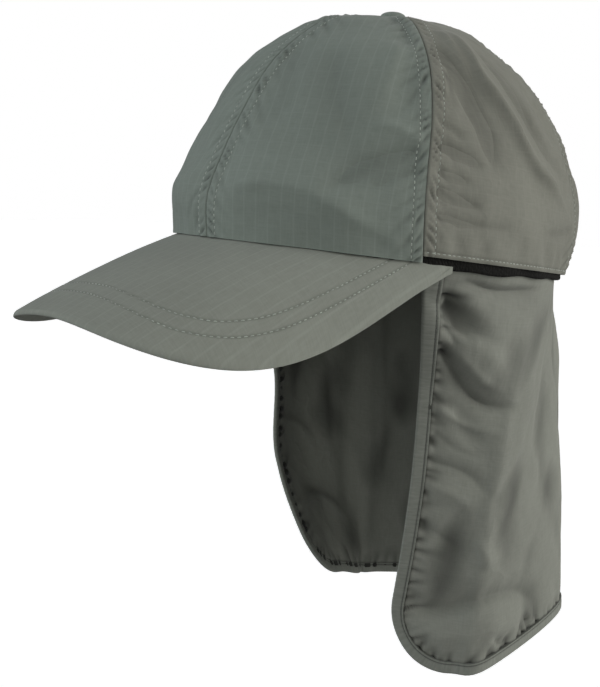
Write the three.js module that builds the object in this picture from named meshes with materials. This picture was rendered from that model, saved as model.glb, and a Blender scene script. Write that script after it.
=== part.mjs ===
// A legionnaire cap: a crown of six sewn panels under a covered button, a
// curved peak, a sweatband, and a neck flap with a bound edge that hangs from
// inside the sweatband. The cloth is modelled as walls, in its form as worn.
//
// Millimetres and degrees. +Z is up and the peak points along -Y, so +X is the
// wearer's left. The origin is the middle of the head opening. An angle is
// counted round +Z from the front, and is above 0 on the wearer's left.
import * as THREE from "three";

const { clamp, degToRad, lerp } = THREE.MathUtils;

// Crown
const OPENING_WIDTH = 166; // outside of the cloth at the rim, side to side
const OPENING_LENGTH = 204; // outside of the cloth at the rim, front to back
const CROWN_HEIGHT = 109.5; // middle of the rim to the top
const RIM_PITCH = 5.5; // angle by which the rim falls towards the back
const TOP_SHIFT = 2.5; // the top lies this far behind the middle of the rim
const CLOTH = 1.2; // wall of a panel
const FRONT_SEAM_ANGLE = 61; // seams between the front and side panels
const BACK_SEAM_ANGLE = 124; // seams between the side and back panels
const PANEL_PUFF = 0.8; // how far the cloth stands out between two seams
const HEM_LIFT = 2; // side and back panels end this far above the front one
const SEAM_GAP = 0.3; // between two pieces that are sewn together

// Button
const BUTTON_WIDTH = 12.5;
const BUTTON_DOME = 2.9; // height of the dome above its edge
const BUTTON_EDGE = 1; // height of the straight edge under the dome
const SHANK_WIDTH = 5;
const SHANK_LENGTH = 3.5;
const SHANK_CLEARANCE = 0.6; // round the shank where it goes through the cloth

// Peak
const PEAK_LENGTH = 71.5; // from the rim to the front edge along the middle
const PEAK_THICKNESS = 2.6;
const PEAK_SEAT = 0.8; // how far its upper face lies below the front panel
const PEAK_END = 69.5; // angle at which it ends on each side
const PEAK_SLOPE = 0.305; // fall for each millimetre forwards, at the rim
const PEAK_ARCH = 6.2; // how much more the sides fall than the middle
const PEAK_ARCH_POWER = 5; // how close to the sides the peak turns down
const PEAK_DROOP = 5.9; // how much further the front edge falls
const PEAK_TAIL = 3; // width of the cut end on each side
const PEAK_CORNER_ACROSS = 2.9; // power of the outline, side to side
const PEAK_CORNER_ALONG = 3.9; // power of the outline, front to back

// Sweatband
const BAND_RISE = 22; // from the rim up to its upper edge
const BAND_DROP = 2.4; // how far it shows below the rim
const BAND_THICKNESS = 2;
const BAND_LEAN = 1.4; // how far its upper edge leans inwards

// Neck flap
const FLAP_LENGTH = 191; // from the middle of the rim down to the lower edge
const FLAP_TUCK = 7; // how far it goes up inside the sweatband
const FLAP_CLOTH = 1;
const FLAP_CORNER = 30; // radius of its two lower corners
const BINDING_WIDTH = 6;
const BINDING_THICKNESS = 2;
const BINDING_GAP = 0.45; // between the cloth and the binding

// Fineness of the faceted surfaces: steps of each grid or ring.
const PANEL_ROWS = 15;
const PANEL_STEP = 6.5; // degrees of a panel in one step
const BUTTON_STEPS = 20;
const DOME_STEPS = 5;
const PEAK_HALF_COLUMNS = 15;
const PEAK_ROWS = 6;
const BAND_STEPS = 72;
const FLAP_ROWS = 14;
const FLAP_STEP = 11; // millimetres of cloth in one step
const CORNER_STEPS = 5;
const LENGTH_STEPS = 400; // for lengths along the flap's lines
const HALVINGS = 24; // of the range searched for the edge of the button's hole

// Outline of the crown at each level, from the rim to the top. The level is a
// share of the crown's height. The other columns are shares of the opening's
// half length, to the front and to the back, and of its half width.
const CROWN_SECTIONS = [
  { level: 0, front: 1, side: 1, back: 1 },
  { level: 0.17, front: 1.009, side: 0.991, back: 1.133 },
  { level: 0.36, front: 0.936, side: 0.945, back: 1.123 },
  { level: 0.56, front: 0.832, side: 0.882, back: 0.945 },
  { level: 0.75, front: 0.706, side: 0.76, back: 0.674 },
  { level: 0.9, front: 0.512, side: 0.54, back: 0.4 },
  { level: 0.975, front: 0.342, side: 0.332, back: 0.196 },
  { level: 1, front: 0, side: 0, back: 0 },
];

// Soft dents and folds of the crown. The rise is the share of the way from rim
// to top, and lean is how many degrees the fold moves round on the whole way.
// Width is half its width in degrees, height half its height as a share of the
// rise, and depth its depth as a share of the opening's width, or below 0 its
// height.
const CROWN_DENTS = [
  { angle: 24, rise: 0.33, lean: -190, width: 9, height: 0.07, depth: 0.007 },
  { angle: 8, rise: 0.6, lean: 0, width: 20, height: 0.1, depth: 0.006 },
  { angle: 52, rise: 0.5, lean: 40, width: 6, height: 0.1, depth: 0.008 },
  { angle: 74, rise: 0.5, lean: 30, width: 6, height: 0.12, depth: 0.01 },
  { angle: 92, rise: 0.55, lean: -90, width: 6, height: 0.16, depth: -0.008 },
  { angle: 106, rise: 0.5, lean: -90, width: 6, height: 0.15, depth: 0.009 },
  { angle: -52, rise: 0.5, lean: -30, width: 6, height: 0.12, depth: 0.007 },
  { angle: -84, rise: 0.5, lean: 60, width: 8, height: 0.15, depth: 0.01 },
  { angle: -104, rise: 0.5, lean: 70, width: 7, height: 0.15, depth: -0.008 },
  { angle: 160, rise: 0.45, lean: -40, width: 9, height: 0.14, depth: 0.01 },
  { angle: -158, rise: 0.45, lean: 40, width: 9, height: 0.14, depth: 0.01 },
];

// Upright lines of the flap's cloth, from its left front edge round the back to
// its right one. Each starts on the sweatband at its angle and then passes three
// points: X as shares of the opening's half width and Y of its half length, at
// the depths that FLAP_DEPTHS gives. Drop is where it ends at the lower edge.
const FLAP_LINES = [
  { angle: 62.5, x1: 0.61, y1: -0.2, x2: 0.53, y2: -0.147, x3: 0.385, y3: -0.118, drop: 0.985 },
  { angle: 78, x1: 0.723, y1: -0.049, x2: 0.663, y2: -0.02, x3: 0.554, y3: -0.039, drop: 1 },
  { angle: 93, x1: 0.807, y1: 0.118, x2: 0.771, y2: 0.098, x3: 0.711, y3: 0.069, drop: 1.007 },
  { angle: 116, x1: 0.82, y1: 0.325, x2: 0.83, y2: 0.245, x3: 0.845, y3: 0.196, drop: 0.992 },
  { angle: 136, x1: 0.725, y1: 0.7, x2: 0.797, y2: 0.745, x3: 0.845, y3: 0.785, drop: 0.915 },
  { angle: 156, x1: 0.43, y1: 0.915, x2: 0.435, y2: 0.96, x3: 0.46, y3: 1, drop: 0.932 },
  { angle: 180, x1: 0, y1: 0.98, x2: 0, y2: 1.02, x3: 0, y3: 1.06, drop: 0.96 },
  { angle: 205, x1: -0.43, y1: 0.86, x2: -0.42, y2: 0.89, x3: -0.41, y3: 0.92, drop: 1 },
  { angle: 229, x1: -0.72, y1: 0.64, x2: -0.69, y2: 0.65, x3: -0.65, y3: 0.66, drop: 1 },
  { angle: 252, x1: -0.83, y1: 0.41, x2: -0.76, y2: 0.43, x3: -0.59, y3: 0.55, drop: 0.985 },
  { angle: 273, x1: -0.81, y1: 0.12, x2: -0.75, y2: 0.15, x3: -0.51, y3: 0.38, drop: 0.95 },
  { angle: 297.5, x1: -0.615, y1: -0.17, x2: -0.555, y2: -0.13, x3: -0.375, y3: 0.175, drop: 0.94 },
];

// Depths of the three points of a flap line, as shares of the flap's length
// below the rim.
const FLAP_DEPTHS = [0.3, 0.6, 1];

// Folds of the flap, in the columns of CROWN_DENTS. The rise is counted down
// from the rim, as a share of the flap's length.
const FLAP_FOLDS = [
  { angle: 76, rise: 0.12, lean: 170, width: 6, height: 0.05, depth: 0.02 },
  { angle: 84, rise: 0.38, lean: 110, width: 8, height: 0.06, depth: 0.024 },
  { angle: 90, rise: 0.22, lean: 90, width: 7, height: 0.06, depth: -0.015 },
  { angle: 90, rise: 0.84, lean: -240, width: 12, height: 0.05, depth: 0.018 },
  { angle: 116, rise: 0.4, lean: 0, width: 5, height: 0.34, depth: -0.012 },
  { angle: 170, rise: 0.6, lean: 10, width: 8, height: 0.35, depth: 0.018 },
  { angle: 196, rise: 0.6, lean: -10, width: 8, height: 0.35, depth: -0.018 },
  { angle: 229, rise: 0.6, lean: 0, width: 4, height: 0.4, depth: 0.02 },
  { angle: 243, rise: 0.6, lean: 20, width: 6, height: 0.25, depth: -0.016 },
];

const FABRIC = { roughness: 0.9, metalness: 0 };
const CROWN_CLOTH = new THREE.MeshStandardMaterial({ ...FABRIC, color: 0x69756c });
const SIDE_CLOTH = new THREE.MeshStandardMaterial({ ...FABRIC, color: 0x737769 });
const PEAK_CLOTH = new THREE.MeshStandardMaterial({ ...FABRIC, color: 0x73766c });
const FLAP_FABRIC = new THREE.MeshStandardMaterial({ ...FABRIC, color: 0x74776b });
const BAND_FABRIC = new THREE.MeshStandardMaterial({ ...FABRIC, color: 0x14140f });

// Smooth curve through the values at the places 0, 1, 2 and so on. The values
// before the first and after the last only bend its ends.
function smoothValue(before, values, after, place) {
  const knots = [before, ...values, after];
  const inside = clamp(place, 0, values.length - 1 - 1e-9);
  const row = Math.floor(inside);
  const share = inside - row;
  const [a, b, c, d] = knots.slice(row, row + 4);
  const bend = 2 * a - 5 * b + 4 * c - d;
  const twist = 3 * b - a - 3 * c + d;
  return (2 * b + (c - a) * share + bend * share ** 2 + twist * share ** 3) / 2;
}

// Place of a depth between given depths, where 0 is the rim.
function placeOfDepth(depths, depth) {
  const knots = [0, ...depths];
  const row = knots.findIndex((knot, i) => i > 0 && depth <= knot);
  const next = row < 0 ? knots.length - 1 : row;
  return next - 1 + (depth - knots[next - 1]) / (knots[next] - knots[next - 1]);
}

// How far soft dents push a surface inwards at an angle and a rise, as a share
// of the opening's width.
function dentShare(rows, angle, rise) {
  const share = (row) => {
    const across = (angle - row.angle - row.lean * (rise - row.rise)) / row.width;
    const along = (rise - row.rise) / row.height;
    return row.depth * Math.exp(-(across ** 2) - along ** 2);
  };
  return rows.reduce((sum, row) => sum + share(row), 0);
}

// Direction straight away from the middle, level.
function outwards(angle) {
  return new THREE.Vector3(Math.sin(degToRad(angle)), -Math.cos(degToRad(angle)), 0);
}

// Height of the rim's plane above the origin at a place front to back.
function rimHeight(y) {
  return -y * Math.tan(degToRad(RIM_PITCH));
}

// Point of the rim, moved inwards and up.
function rimPoint(angle, inset, height) {
  const direction = outwards(angle);
  const x = (OPENING_WIDTH / 2 - inset) * direction.x;
  const y = (OPENING_LENGTH / 2 - inset) * direction.y;
  return new THREE.Vector3(x, y, rimHeight(y) + height);
}

// Point of a surface moved along its normal. Across and then along turn left
// when they are seen from outside.
function liftedPoint(surface, across, along, distance) {
  const step = 1e-3;
  const right = surface(across + step, along).sub(surface(across - step, along));
  const up = surface(across, along + step).sub(surface(across, along - step));
  const normal = right.cross(up).normalize();
  return surface(across, along).addScaledVector(normal, distance);
}

// Numbers from 0 to 1 in equal steps.
function shares(steps) {
  return Array.from({ length: steps + 1 }, (_, i) => i / steps);
}

function geometryOf(points, faces) {
  const geometry = new THREE.BufferGeometry().setFromPoints(points);
  geometry.setIndex(faces);
  geometry.computeVertexNormals();
  return geometry;
}

// A closed wall between two grids of points, joined along the four borders.
function wallGeometry(outer, inner) {
  const columns = outer.length;
  const rows = outer[0].length;
  const faces = [];
  const quad = (a, b, c, d) => faces.push(a, b, c, a, c, d);
  const out = (column, row) => column * rows + row;
  const inn = (column, row) => columns * rows + out(column, row);
  for (let i = 0; i + 1 < columns; i++) {
    for (let j = 0; j + 1 < rows; j++) {
      quad(out(i, j), out(i + 1, j), out(i + 1, j + 1), out(i, j + 1));
      quad(inn(i, j), inn(i, j + 1), inn(i + 1, j + 1), inn(i + 1, j));
    }
    quad(inn(i, 0), inn(i + 1, 0), out(i + 1, 0), out(i, 0));
    quad(out(i, rows - 1), out(i + 1, rows - 1), inn(i + 1, rows - 1), inn(i, rows - 1));
  }
  for (let j = 0; j + 1 < rows; j++) {
    quad(out(0, j), out(0, j + 1), inn(0, j + 1), inn(0, j));
    quad(inn(columns - 1, j), inn(columns - 1, j + 1), out(columns - 1, j + 1), out(columns - 1, j));
  }
  return geometryOf([...outer.flat(), ...inner.flat()], faces);
}

// A bar through four-cornered sections, closed on itself or capped at its ends.
function barGeometry(sections, isRing) {
  const faces = [];
  const count = sections.length;
  const corners = sections[0].length;
  const quad = (a, b, c, d) => faces.push(a, b, c, a, c, d);
  const at = (section, corner) => (section % count) * corners + (corner % corners);
  for (let i = 0; i < (isRing ? count : count - 1); i++) {
    for (let k = 0; k < corners; k++) {
      quad(at(i, k + 1), at(i, k), at(i + 1, k), at(i + 1, k + 1));
    }
  }
  if (!isRing) {
    quad(at(0, 0), at(0, 1), at(0, 2), at(0, 3));
    quad(at(count - 1, 3), at(count - 1, 2), at(count - 1, 1), at(count - 1, 0));
  }
  return geometryOf(sections.flat(), faces);
}

// Column of the crown's table at a rise. Past the top the outline comes back on
// the other side, so the crown is level there.
function crownShare(column, rise) {
  const values = CROWN_SECTIONS.map((row) => row[column]);
  const sign = column === "level" ? 1 : -1;
  const before = 2 * values[0] - values[1];
  const after = sign * values[values.length - 2];
  return smoothValue(before, values, after, rise * (values.length - 1));
}

// Point of the crown's outer face. Its lower edge may lie above the rim's plane.
function crownPoint(angle, rise, edgeLift, puff) {
  const direction = outwards(angle);
  const level = crownShare("level", rise);
  const along = crownShare(direction.y < 0 ? "front" : "back", rise);
  const rim = rimPoint(angle, 0, edgeLift);
  const point = new THREE.Vector3(
    rim.x * crownShare("side", rise),
    rim.y * along + TOP_SHIFT * level,
    lerp(rim.z, CROWN_HEIGHT, level),
  );
  const dent = dentShare(CROWN_DENTS, angle, rise) * OPENING_WIDTH;
  return point.addScaledVector(direction, puff * Math.sin(Math.PI * rise) - dent);
}

// Distance of the crown's outer face from the middle of the button.
function crownRadius(angle, rise) {
  const point = crownPoint(angle, rise, 0, 0);
  return Math.hypot(point.x, point.y - TOP_SHIFT);
}

// Rise at which the crown's cloth ends, at the hole for the button's shank.
function riseAtHole(angle) {
  let below = 0;
  let above = 1;
  for (let i = 0; i < HALVINGS; i++) {
    const middle = (below + above) / 2;
    const isOutside = crownRadius(angle, middle) > SHANK_WIDTH / 2 + SHANK_CLEARANCE;
    below = isOutside ? middle : below;
    above = isOutside ? above : middle;
  }
  return below;
}

// One panel of the crown between two seams, with its wall inwards.
function panelGeometry(from, to, edgeLift) {
  const surface = (share, height) => {
    const rise = height * riseAtHole((from + to) / 2);
    const margin = THREE.MathUtils.radToDeg(SEAM_GAP / 2 / crownRadius(from, rise));
    const angle = lerp(from + margin, to - margin, share);
    return crownPoint(angle, rise, edgeLift, PANEL_PUFF * 4 * share * (1 - share));
  };
  const columns = shares(Math.round((to - from) / PANEL_STEP));
  const rows = shares(PANEL_ROWS);
  const grid = (depth) =>
    columns.map((share) => rows.map((height) => liftedPoint(surface, share, height, -depth)));
  return wallGeometry(grid(0), grid(CLOTH));
}

// A dome on a short straight edge, with a shank down through the crown.
function buttonGeometry() {
  const dome = shares(DOME_STEPS).map((share) => {
    const turn = (share * Math.PI) / 2;
    const radius = share < 1 ? (BUTTON_WIDTH / 2) * Math.cos(turn) : 0;
    return new THREE.Vector2(radius, BUTTON_EDGE + BUTTON_DOME * Math.sin(turn));
  });
  const profile = [
    new THREE.Vector2(0, -SHANK_LENGTH),
    new THREE.Vector2(SHANK_WIDTH / 2, -SHANK_LENGTH),
    new THREE.Vector2(SHANK_WIDTH / 2, 0),
    new THREE.Vector2(BUTTON_WIDTH / 2, 0),
    ...dome,
  ];
  return new THREE.LatheGeometry(profile, BUTTON_STEPS).rotateX(Math.PI / 2);
}

// Point of the peak's upper face. Side runs from -1 to 1 across it and forward
// from 0 at the rim to 1 at its edge.
function peakPoint(side, forward) {
  const end = rimPoint(PEAK_END, CLOTH, 0);
  const x = end.x * side;
  const width = Math.abs(side);
  const half = OPENING_WIDTH / 2 - CLOTH;
  const rimY = -(OPENING_LENGTH / 2 - CLOTH) * Math.sqrt(1 - (x / half) ** 2);
  const reach = OPENING_LENGTH / 2 + PEAK_LENGTH + end.y - PEAK_TAIL;
  const bow = (1 - width ** PEAK_CORNER_ACROSS) ** (1 / PEAK_CORNER_ALONG);
  const y = lerp(rimY, end.y - PEAK_TAIL - reach * bow, forward);
  const distance = rimY - y;
  const share = distance / PEAK_LENGTH;
  const arch = PEAK_ARCH * width ** PEAK_ARCH_POWER * share;
  const fall = PEAK_SLOPE * distance + PEAK_DROOP * share ** 2 + arch;
  const z = rimHeight(rimY) - PEAK_SEAT - fall;
  return new THREE.Vector3(x, y, z);
}

// The peak, with its wall straight down. Its columns crowd together towards the
// sides, where the outline bends most.
function peakGeometry() {
  const columns = shares(2 * PEAK_HALF_COLUMNS).map((share) => {
    const side = 2 * share - 1;
    return Math.sign(side) * (1 - (1 - Math.abs(side)) ** 2);
  });
  const rows = shares(PEAK_ROWS).reverse();
  const grid = (depth) =>
    columns.map((side) =>
      rows.map((forward) => peakPoint(side, forward).setComponent(2, peakPoint(side, forward).z - depth)),
    );
  return wallGeometry(grid(0), grid(PEAK_THICKNESS));
}

// How far the sweatband's outer face lies inside the rim, at a height.
function bandInset(height) {
  return CLOTH + SEAM_GAP + BAND_LEAN * Math.max(0, height / BAND_RISE);
}

function bandGeometry() {
  const sections = shares(BAND_STEPS)
    .slice(1)
    .map((share) => {
      const corner = (depth, height) => rimPoint(360 * share, bandInset(height) + depth, height);
      return [
        corner(0, BAND_RISE),
        corner(BAND_THICKNESS, BAND_RISE),
        corner(BAND_THICKNESS, -BAND_DROP),
        corner(0, -BAND_DROP),
      ];
    });
  return barGeometry(sections, true);
}

// Column of the flap's table at a share of the way from the left front edge
// round to the right one.
function flapColumn(column, share) {
  const values = FLAP_LINES.map((row) => row[column]);
  const last = values.length - 1;
  const before = 2 * values[0] - values[1];
  const after = 2 * values[last] - values[last - 1];
  return smoothValue(before, values, after, clamp(share, 0, 1) * last);
}

// Point of the middle of the flap's cloth, at a height above the rim's plane or,
// where it hangs, below it. The binding is what lies against the sweatband.
function flapPoint(share, height) {
  const angle = flapColumn("angle", share);
  const inset = BAND_THICKNESS + SEAM_GAP + BINDING_THICKNESS / 2;
  const top = rimPoint(angle, bandInset(height) + inset, 0);
  const depth = Math.max(0, -height / FLAP_LENGTH);
  const place = placeOfDepth(FLAP_DEPTHS, depth);
  const through = (start, size, columns) => {
    const values = [start, ...columns.map((column) => (flapColumn(column, share) * size) / 2)];
    const end = 2 * values[3] - values[2];
    return smoothValue(values[1], values, end, place);
  };
  const fold = dentShare(FLAP_FOLDS, angle, depth) * OPENING_WIDTH;
  const z = height > 0 ? top.z + height : lerp(top.z, -FLAP_LENGTH, depth);
  return new THREE.Vector3(
    through(top.x, OPENING_WIDTH, ["x1", "x2", "x3"]),
    through(top.y, OPENING_LENGTH, ["y1", "y2", "y3"]),
    z,
  ).addScaledVector(outwards(angle), -fold);
}

// Level line through the flap, for lengths along its cloth.
class FlapLine extends THREE.Curve {
  constructor(height) {
    super();
    this.height = height;
  }

  getPoint(share) {
    return flapPoint(share, this.height);
  }
}

// Places along the flap's cloth at an inset from its outline: the share of the
// way round, and how far down the cloth goes there. The corners are round.
function flapStations(inset) {
  const line = new FlapLine(-FLAP_LENGTH * (FLAP_DEPTHS[1] + FLAP_DEPTHS[2]) / 2);
  line.arcLengthDivisions = LENGTH_STEPS;
  const length = line.getLength();
  const corner = shares(CORNER_STEPS).map((share) => {
    const turn = (share * Math.PI) / 2;
    const radius = FLAP_CORNER - inset;
    const distance = FLAP_CORNER - radius * Math.cos(turn);
    return { distance, above: FLAP_CORNER - radius * Math.sin(turn) };
  });
  const straight = length - 2 * FLAP_CORNER;
  const steps = Math.round(straight / FLAP_STEP);
  const middle = shares(steps)
    .slice(1, -1)
    .map((share) => ({ distance: FLAP_CORNER + straight * share, above: inset }));
  const mirrored = corner.map(({ distance, above }) => ({ distance: length - distance, above })).reverse();
  return [...corner, ...middle, ...mirrored].map(({ distance, above }) => {
    const share = line.getUtoTmapping(0, distance);
    return { share, height: above - FLAP_LENGTH * flapColumn("drop", share) };
  });
}

// Heights of the flap's rows where the cloth ends at a height. They turn from
// the binding's corner up to the top of the tuck.
function flapRows(end) {
  return shares(FLAP_ROWS).map((share) => lerp(end, FLAP_TUCK, share));
}

function flapGeometry() {
  const stations = flapStations(BINDING_WIDTH + BINDING_GAP);
  const grid = (side) =>
    stations.map(({ share, height }) =>
      flapRows(height).map((row) => liftedPoint(flapPoint, share, row, (side * FLAP_CLOTH) / 2)),
    );
  return wallGeometry(grid(1), grid(-1));
}

// The binding: down the left front edge, round the lower edge and up the right.
function bindingGeometry() {
  const outer = flapStations(0);
  const inner = flapStations(BINDING_WIDTH);
  const last = outer.length - 1;
  const upright = (station) => flapRows(inner[station].height).slice(1).map((height) => [station, height]);
  const route = [
    ...upright(0).reverse(),
    ...outer.map((_, station) => [station, null]),
    ...upright(last),
  ];
  const sections = route.map(([station, height]) => {
    const corner = (line, side) => {
      const { share, height: edge } = line[station];
      return liftedPoint(flapPoint, share, height ?? edge, (side * BINDING_THICKNESS) / 2);
    };
    return [corner(outer, 1), corner(inner, 1), corner(inner, -1), corner(outer, -1)];
  });
  return barGeometry(sections, false);
}

function pieceOf(name, geometry, material) {
  const piece = new THREE.Mesh(geometry, material);
  piece.name = name;
  return piece;
}

const cap = new THREE.Group();

// The front panels reach down to the peak, and the others end above the rim.
const FRONT = { lift: 0, cloth: CROWN_CLOTH };
const SIDE = { lift: HEM_LIFT, cloth: SIDE_CLOTH };
const PANELS = [
  { name: "front_panel_left", from: 0, to: FRONT_SEAM_ANGLE, kind: FRONT },
  { name: "side_panel_left", from: FRONT_SEAM_ANGLE, to: BACK_SEAM_ANGLE, kind: SIDE },
  { name: "back_panel_left", from: BACK_SEAM_ANGLE, to: 180, kind: SIDE },
  { name: "back_panel_right", from: -180, to: -BACK_SEAM_ANGLE, kind: SIDE },
  { name: "side_panel_right", from: -BACK_SEAM_ANGLE, to: -FRONT_SEAM_ANGLE, kind: SIDE },
  { name: "front_panel_right", from: -FRONT_SEAM_ANGLE, to: 0, kind: FRONT },
];
for (const { name, from, to, kind } of PANELS) {
  cap.add(pieceOf(name, panelGeometry(from, to, kind.lift), kind.cloth));
}

const button = pieceOf("top_button", buttonGeometry(), CROWN_CLOTH);
button.position.set(0, TOP_SHIFT, CROWN_HEIGHT + SEAM_GAP);
cap.add(button);

cap.add(pieceOf("peak", peakGeometry(), PEAK_CLOTH));
cap.add(pieceOf("sweatband", bandGeometry(), BAND_FABRIC));
cap.add(pieceOf("neck_flap", flapGeometry(), FLAP_FABRIC));
cap.add(pieceOf("flap_binding", bindingGeometry(), FLAP_FABRIC));

export default cap;
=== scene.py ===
"""Legionnaire cap: a crown of six sewn panels, a button, a peak, a sweatband
and a bound neck flap, dressed over the cap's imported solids.

Lengths are metres and angles degrees, in the frame of the solids: +Z is up, the
peak points along -Y, and the origin is the middle of the head opening. An angle
round +Z is counted from the front, and is above 0 on the wearer's left. Each
surface is a function of two parameters on a grid, worked out as whole arrays.
"""

import math

import bpy
import numpy as np
from bpy.props import FloatProperty, FloatVectorProperty, PointerProperty
from bpy.types import Operator, Panel, PropertyGroup
from mathutils import Matrix, Vector


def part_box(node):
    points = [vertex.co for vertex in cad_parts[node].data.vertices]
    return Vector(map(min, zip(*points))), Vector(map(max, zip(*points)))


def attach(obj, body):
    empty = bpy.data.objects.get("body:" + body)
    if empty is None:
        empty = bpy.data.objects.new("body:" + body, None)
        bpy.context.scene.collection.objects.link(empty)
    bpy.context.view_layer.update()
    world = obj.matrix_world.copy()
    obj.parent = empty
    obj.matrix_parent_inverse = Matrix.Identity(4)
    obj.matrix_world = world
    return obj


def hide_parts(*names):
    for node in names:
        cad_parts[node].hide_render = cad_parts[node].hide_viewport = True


bl_info = {
    "name": "Legionnaire Cap",
    "version": (1, 0, 0),
    "blender": (4, 5, 0),
    "location": "3D View > Sidebar > Cap",
    "description": "Dresses the solids of a cap with a neck flap in sewn cloth",
    "category": "Object",
}

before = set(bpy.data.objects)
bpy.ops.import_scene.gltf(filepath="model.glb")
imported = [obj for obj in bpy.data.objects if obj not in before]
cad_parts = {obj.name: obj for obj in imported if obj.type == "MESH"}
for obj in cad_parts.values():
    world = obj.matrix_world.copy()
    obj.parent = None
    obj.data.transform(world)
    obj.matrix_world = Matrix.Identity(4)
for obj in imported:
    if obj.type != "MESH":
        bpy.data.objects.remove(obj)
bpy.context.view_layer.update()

MM = 0.001
TURN = 2 * math.pi

# Sizes that the solids give.
CLOTH = 1.2 * MM  # wall of a crown panel
SEAM_GAP = 0.3 * MM
BAND_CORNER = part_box("sweatband")[1]
HALF_WIDTH = BAND_CORNER.x + CLOTH + SEAM_GAP  # of the head opening at the rim
HALF_LENGTH = BAND_CORNER.y + CLOTH + SEAM_GAP
SHANK = 3.5 * MM
CROWN_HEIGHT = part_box("top_button")[0].z + SHANK - SEAM_GAP
PITCH_SLOPE = math.tan(math.radians(5.5))  # the rim falls towards the back
TOP_SHIFT = 2.5 * MM
HOLE_RADIUS = 3.1 * MM
PANEL_PUFF = 0.8 * MM
HEM_LIFT = 2 * MM
FRONT_DROP = -0.7 * MM  # the front panels close on the peak, past their solids

PEAK_LENGTH = 71.5 * MM
PEAK_THICKNESS = 2.6 * MM
PEAK_SEAT = 0.8 * MM
PEAK_END = 69.5
PEAK_SLOPE = 0.305
PEAK_DROOP = 5.9 * MM
PEAK_ARCH = 6.2 * MM
PEAK_ARCH_POWER = 5
PEAK_TAIL = 3 * MM
PEAK_CORNER_ACROSS = 2.9
PEAK_CORNER_ALONG = 3.9

BAND_RISE = 22 * MM
BAND_DROP = 2.4 * MM
BAND_THICKNESS = 2 * MM
BAND_LEAN = 1.4 * MM

FLAP_LENGTH = 191 * MM
FLAP_TUCK = 7 * MM
FLAP_CLOTH = 1 * MM
FLAP_CORNER = 30 * MM
BINDING_WIDTH = 6 * MM
BINDING_THICKNESS = 2 * MM

# Grids and finishes, which only the looks have.
PANEL_ROWS = 124
PANEL_STEP = 2.1 * MM  # between two columns away from the seams
STITCH_END = 7.5 * MM  # distance from the button's axis at which stitches end
FLAP_ROWS = 200
FLAP_STEP = 1.8 * MM
FLAP_WIDTH_LEVEL = 0.8  # share of the flap's length at which its width is taken
FLAP_START = 0.6  # share of the binding's width at which the flap's cloth ends
BINDING_ROW = 0.8  # share of the binding's width at which its stitches run
CREASE_WIDTH = 0.8  # factor on the widths in the tables of creases
FLAP_FOLD_GAIN = 1.2  # factor on the heights in FLAP_CREASES
SHARP_ANGLE = math.radians(60)
RIPSTOP_PITCH = 5.4 * MM
PAINTED_SHADE_TINT = 0.12  # tint of the painted shade at the bottom of a seam, in a crease or in a stitch channel
FLOOR_HALF = 6.0

# Outline of the crown at each level, as shares of its height, of the opening's
# half length to the front and to the back, and of its half width.
CROWN_SECTIONS = {
    "level": (0, 0.17, 0.36, 0.56, 0.75, 0.9, 0.975, 1),
    "front": (1, 1.009, 0.936, 0.832, 0.706, 0.512, 0.342, 0),
    "side": (1, 0.991, 0.945, 0.882, 0.76, 0.54, 0.332, 0),
    "back": (1, 1.133, 1.123, 0.945, 0.674, 0.4, 0.196, 0),
}

# Soft dents: the angle and the rise of the middle, how many degrees the dent
# leans on the whole rise, half its width in degrees, half its height as a share
# of the rise, and its depth as a share of the opening's width, or below 0 its
# height.
CROWN_DENTS = (
    (24, 0.33, -190, 9, 0.07, 0.007),
    (8, 0.6, 0, 20, 0.1, 0.006),
    (52, 0.5, 40, 6, 0.1, 0.008),
    (74, 0.5, 30, 6, 0.12, 0.01),
    (92, 0.55, -90, 6, 0.16, -0.008),
    (106, 0.5, -90, 6, 0.15, 0.009),
    (-52, 0.5, -30, 6, 0.12, 0.007),
    (-84, 0.5, 60, 8, 0.15, 0.01),
    (-104, 0.5, 70, 7, 0.15, -0.008),
    (160, 0.45, -40, 9, 0.14, 0.01),
    (-158, 0.45, 40, 9, 0.14, 0.01),
)

# Upright lines of the flap's cloth, from its left front edge round the back to
# its right one: the angle at the sweatband, X as a share of the opening's half
# width and Y of its half length at each of FLAP_DEPTHS, and the share of the
# flap's length at which the line ends.
FLAP_LINES = {
    "angle": (62.5, 78, 93, 116, 136, 156, 180, 205, 229, 252, 273, 297.5),
    "x1": (0.61, 0.723, 0.807, 0.82, 0.725, 0.43, 0, -0.43, -0.72, -0.83, -0.81, -0.615),
    "y1": (-0.2, -0.049, 0.118, 0.325, 0.7, 0.915, 0.98, 0.86, 0.64, 0.41, 0.12, -0.17),
    "x2": (0.53, 0.663, 0.771, 0.83, 0.797, 0.435, 0, -0.42, -0.69, -0.76, -0.75, -0.555),
    "y2": (-0.147, -0.02, 0.098, 0.245, 0.745, 0.96, 1.02, 0.89, 0.65, 0.43, 0.15, -0.13),
    "x3": (0.385, 0.554, 0.711, 0.845, 0.845, 0.46, 0, -0.41, -0.65, -0.59, -0.51, -0.375),
    "y3": (-0.118, -0.039, 0.069, 0.196, 0.785, 1, 1.06, 0.92, 0.66, 0.55, 0.38, 0.175),
    "drop": (0.985, 1, 1.007, 0.992, 0.915, 0.932, 0.96, 1, 1, 0.985, 0.95, 0.94),
}
FLAP_DEPTHS = (0, 0.3, 0.6, 1)

# Distances in millimetres of the peak's two rows of stitches from its edge, at
# shares of its half width.
PEAK_ROWS = {
    "side": (-1, -0.8, -0.5, -0.25, 0.03, 0.22, 0.37, 0.5, 0.6, 0.7, 0.8, 0.87, 1),
    "outer": (8, 10.5, 14, 15.4, 15.2, 14.3, 13.3, 11.7, 9.9, 8.5, 7.2, 6.8, 7.2),
    "inner": (12.5, 15.8, 20.3, 22, 21.9, 21, 19.8, 17.7, 15.6, 13.1, 11.4, 11, 11.6),
}

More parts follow.
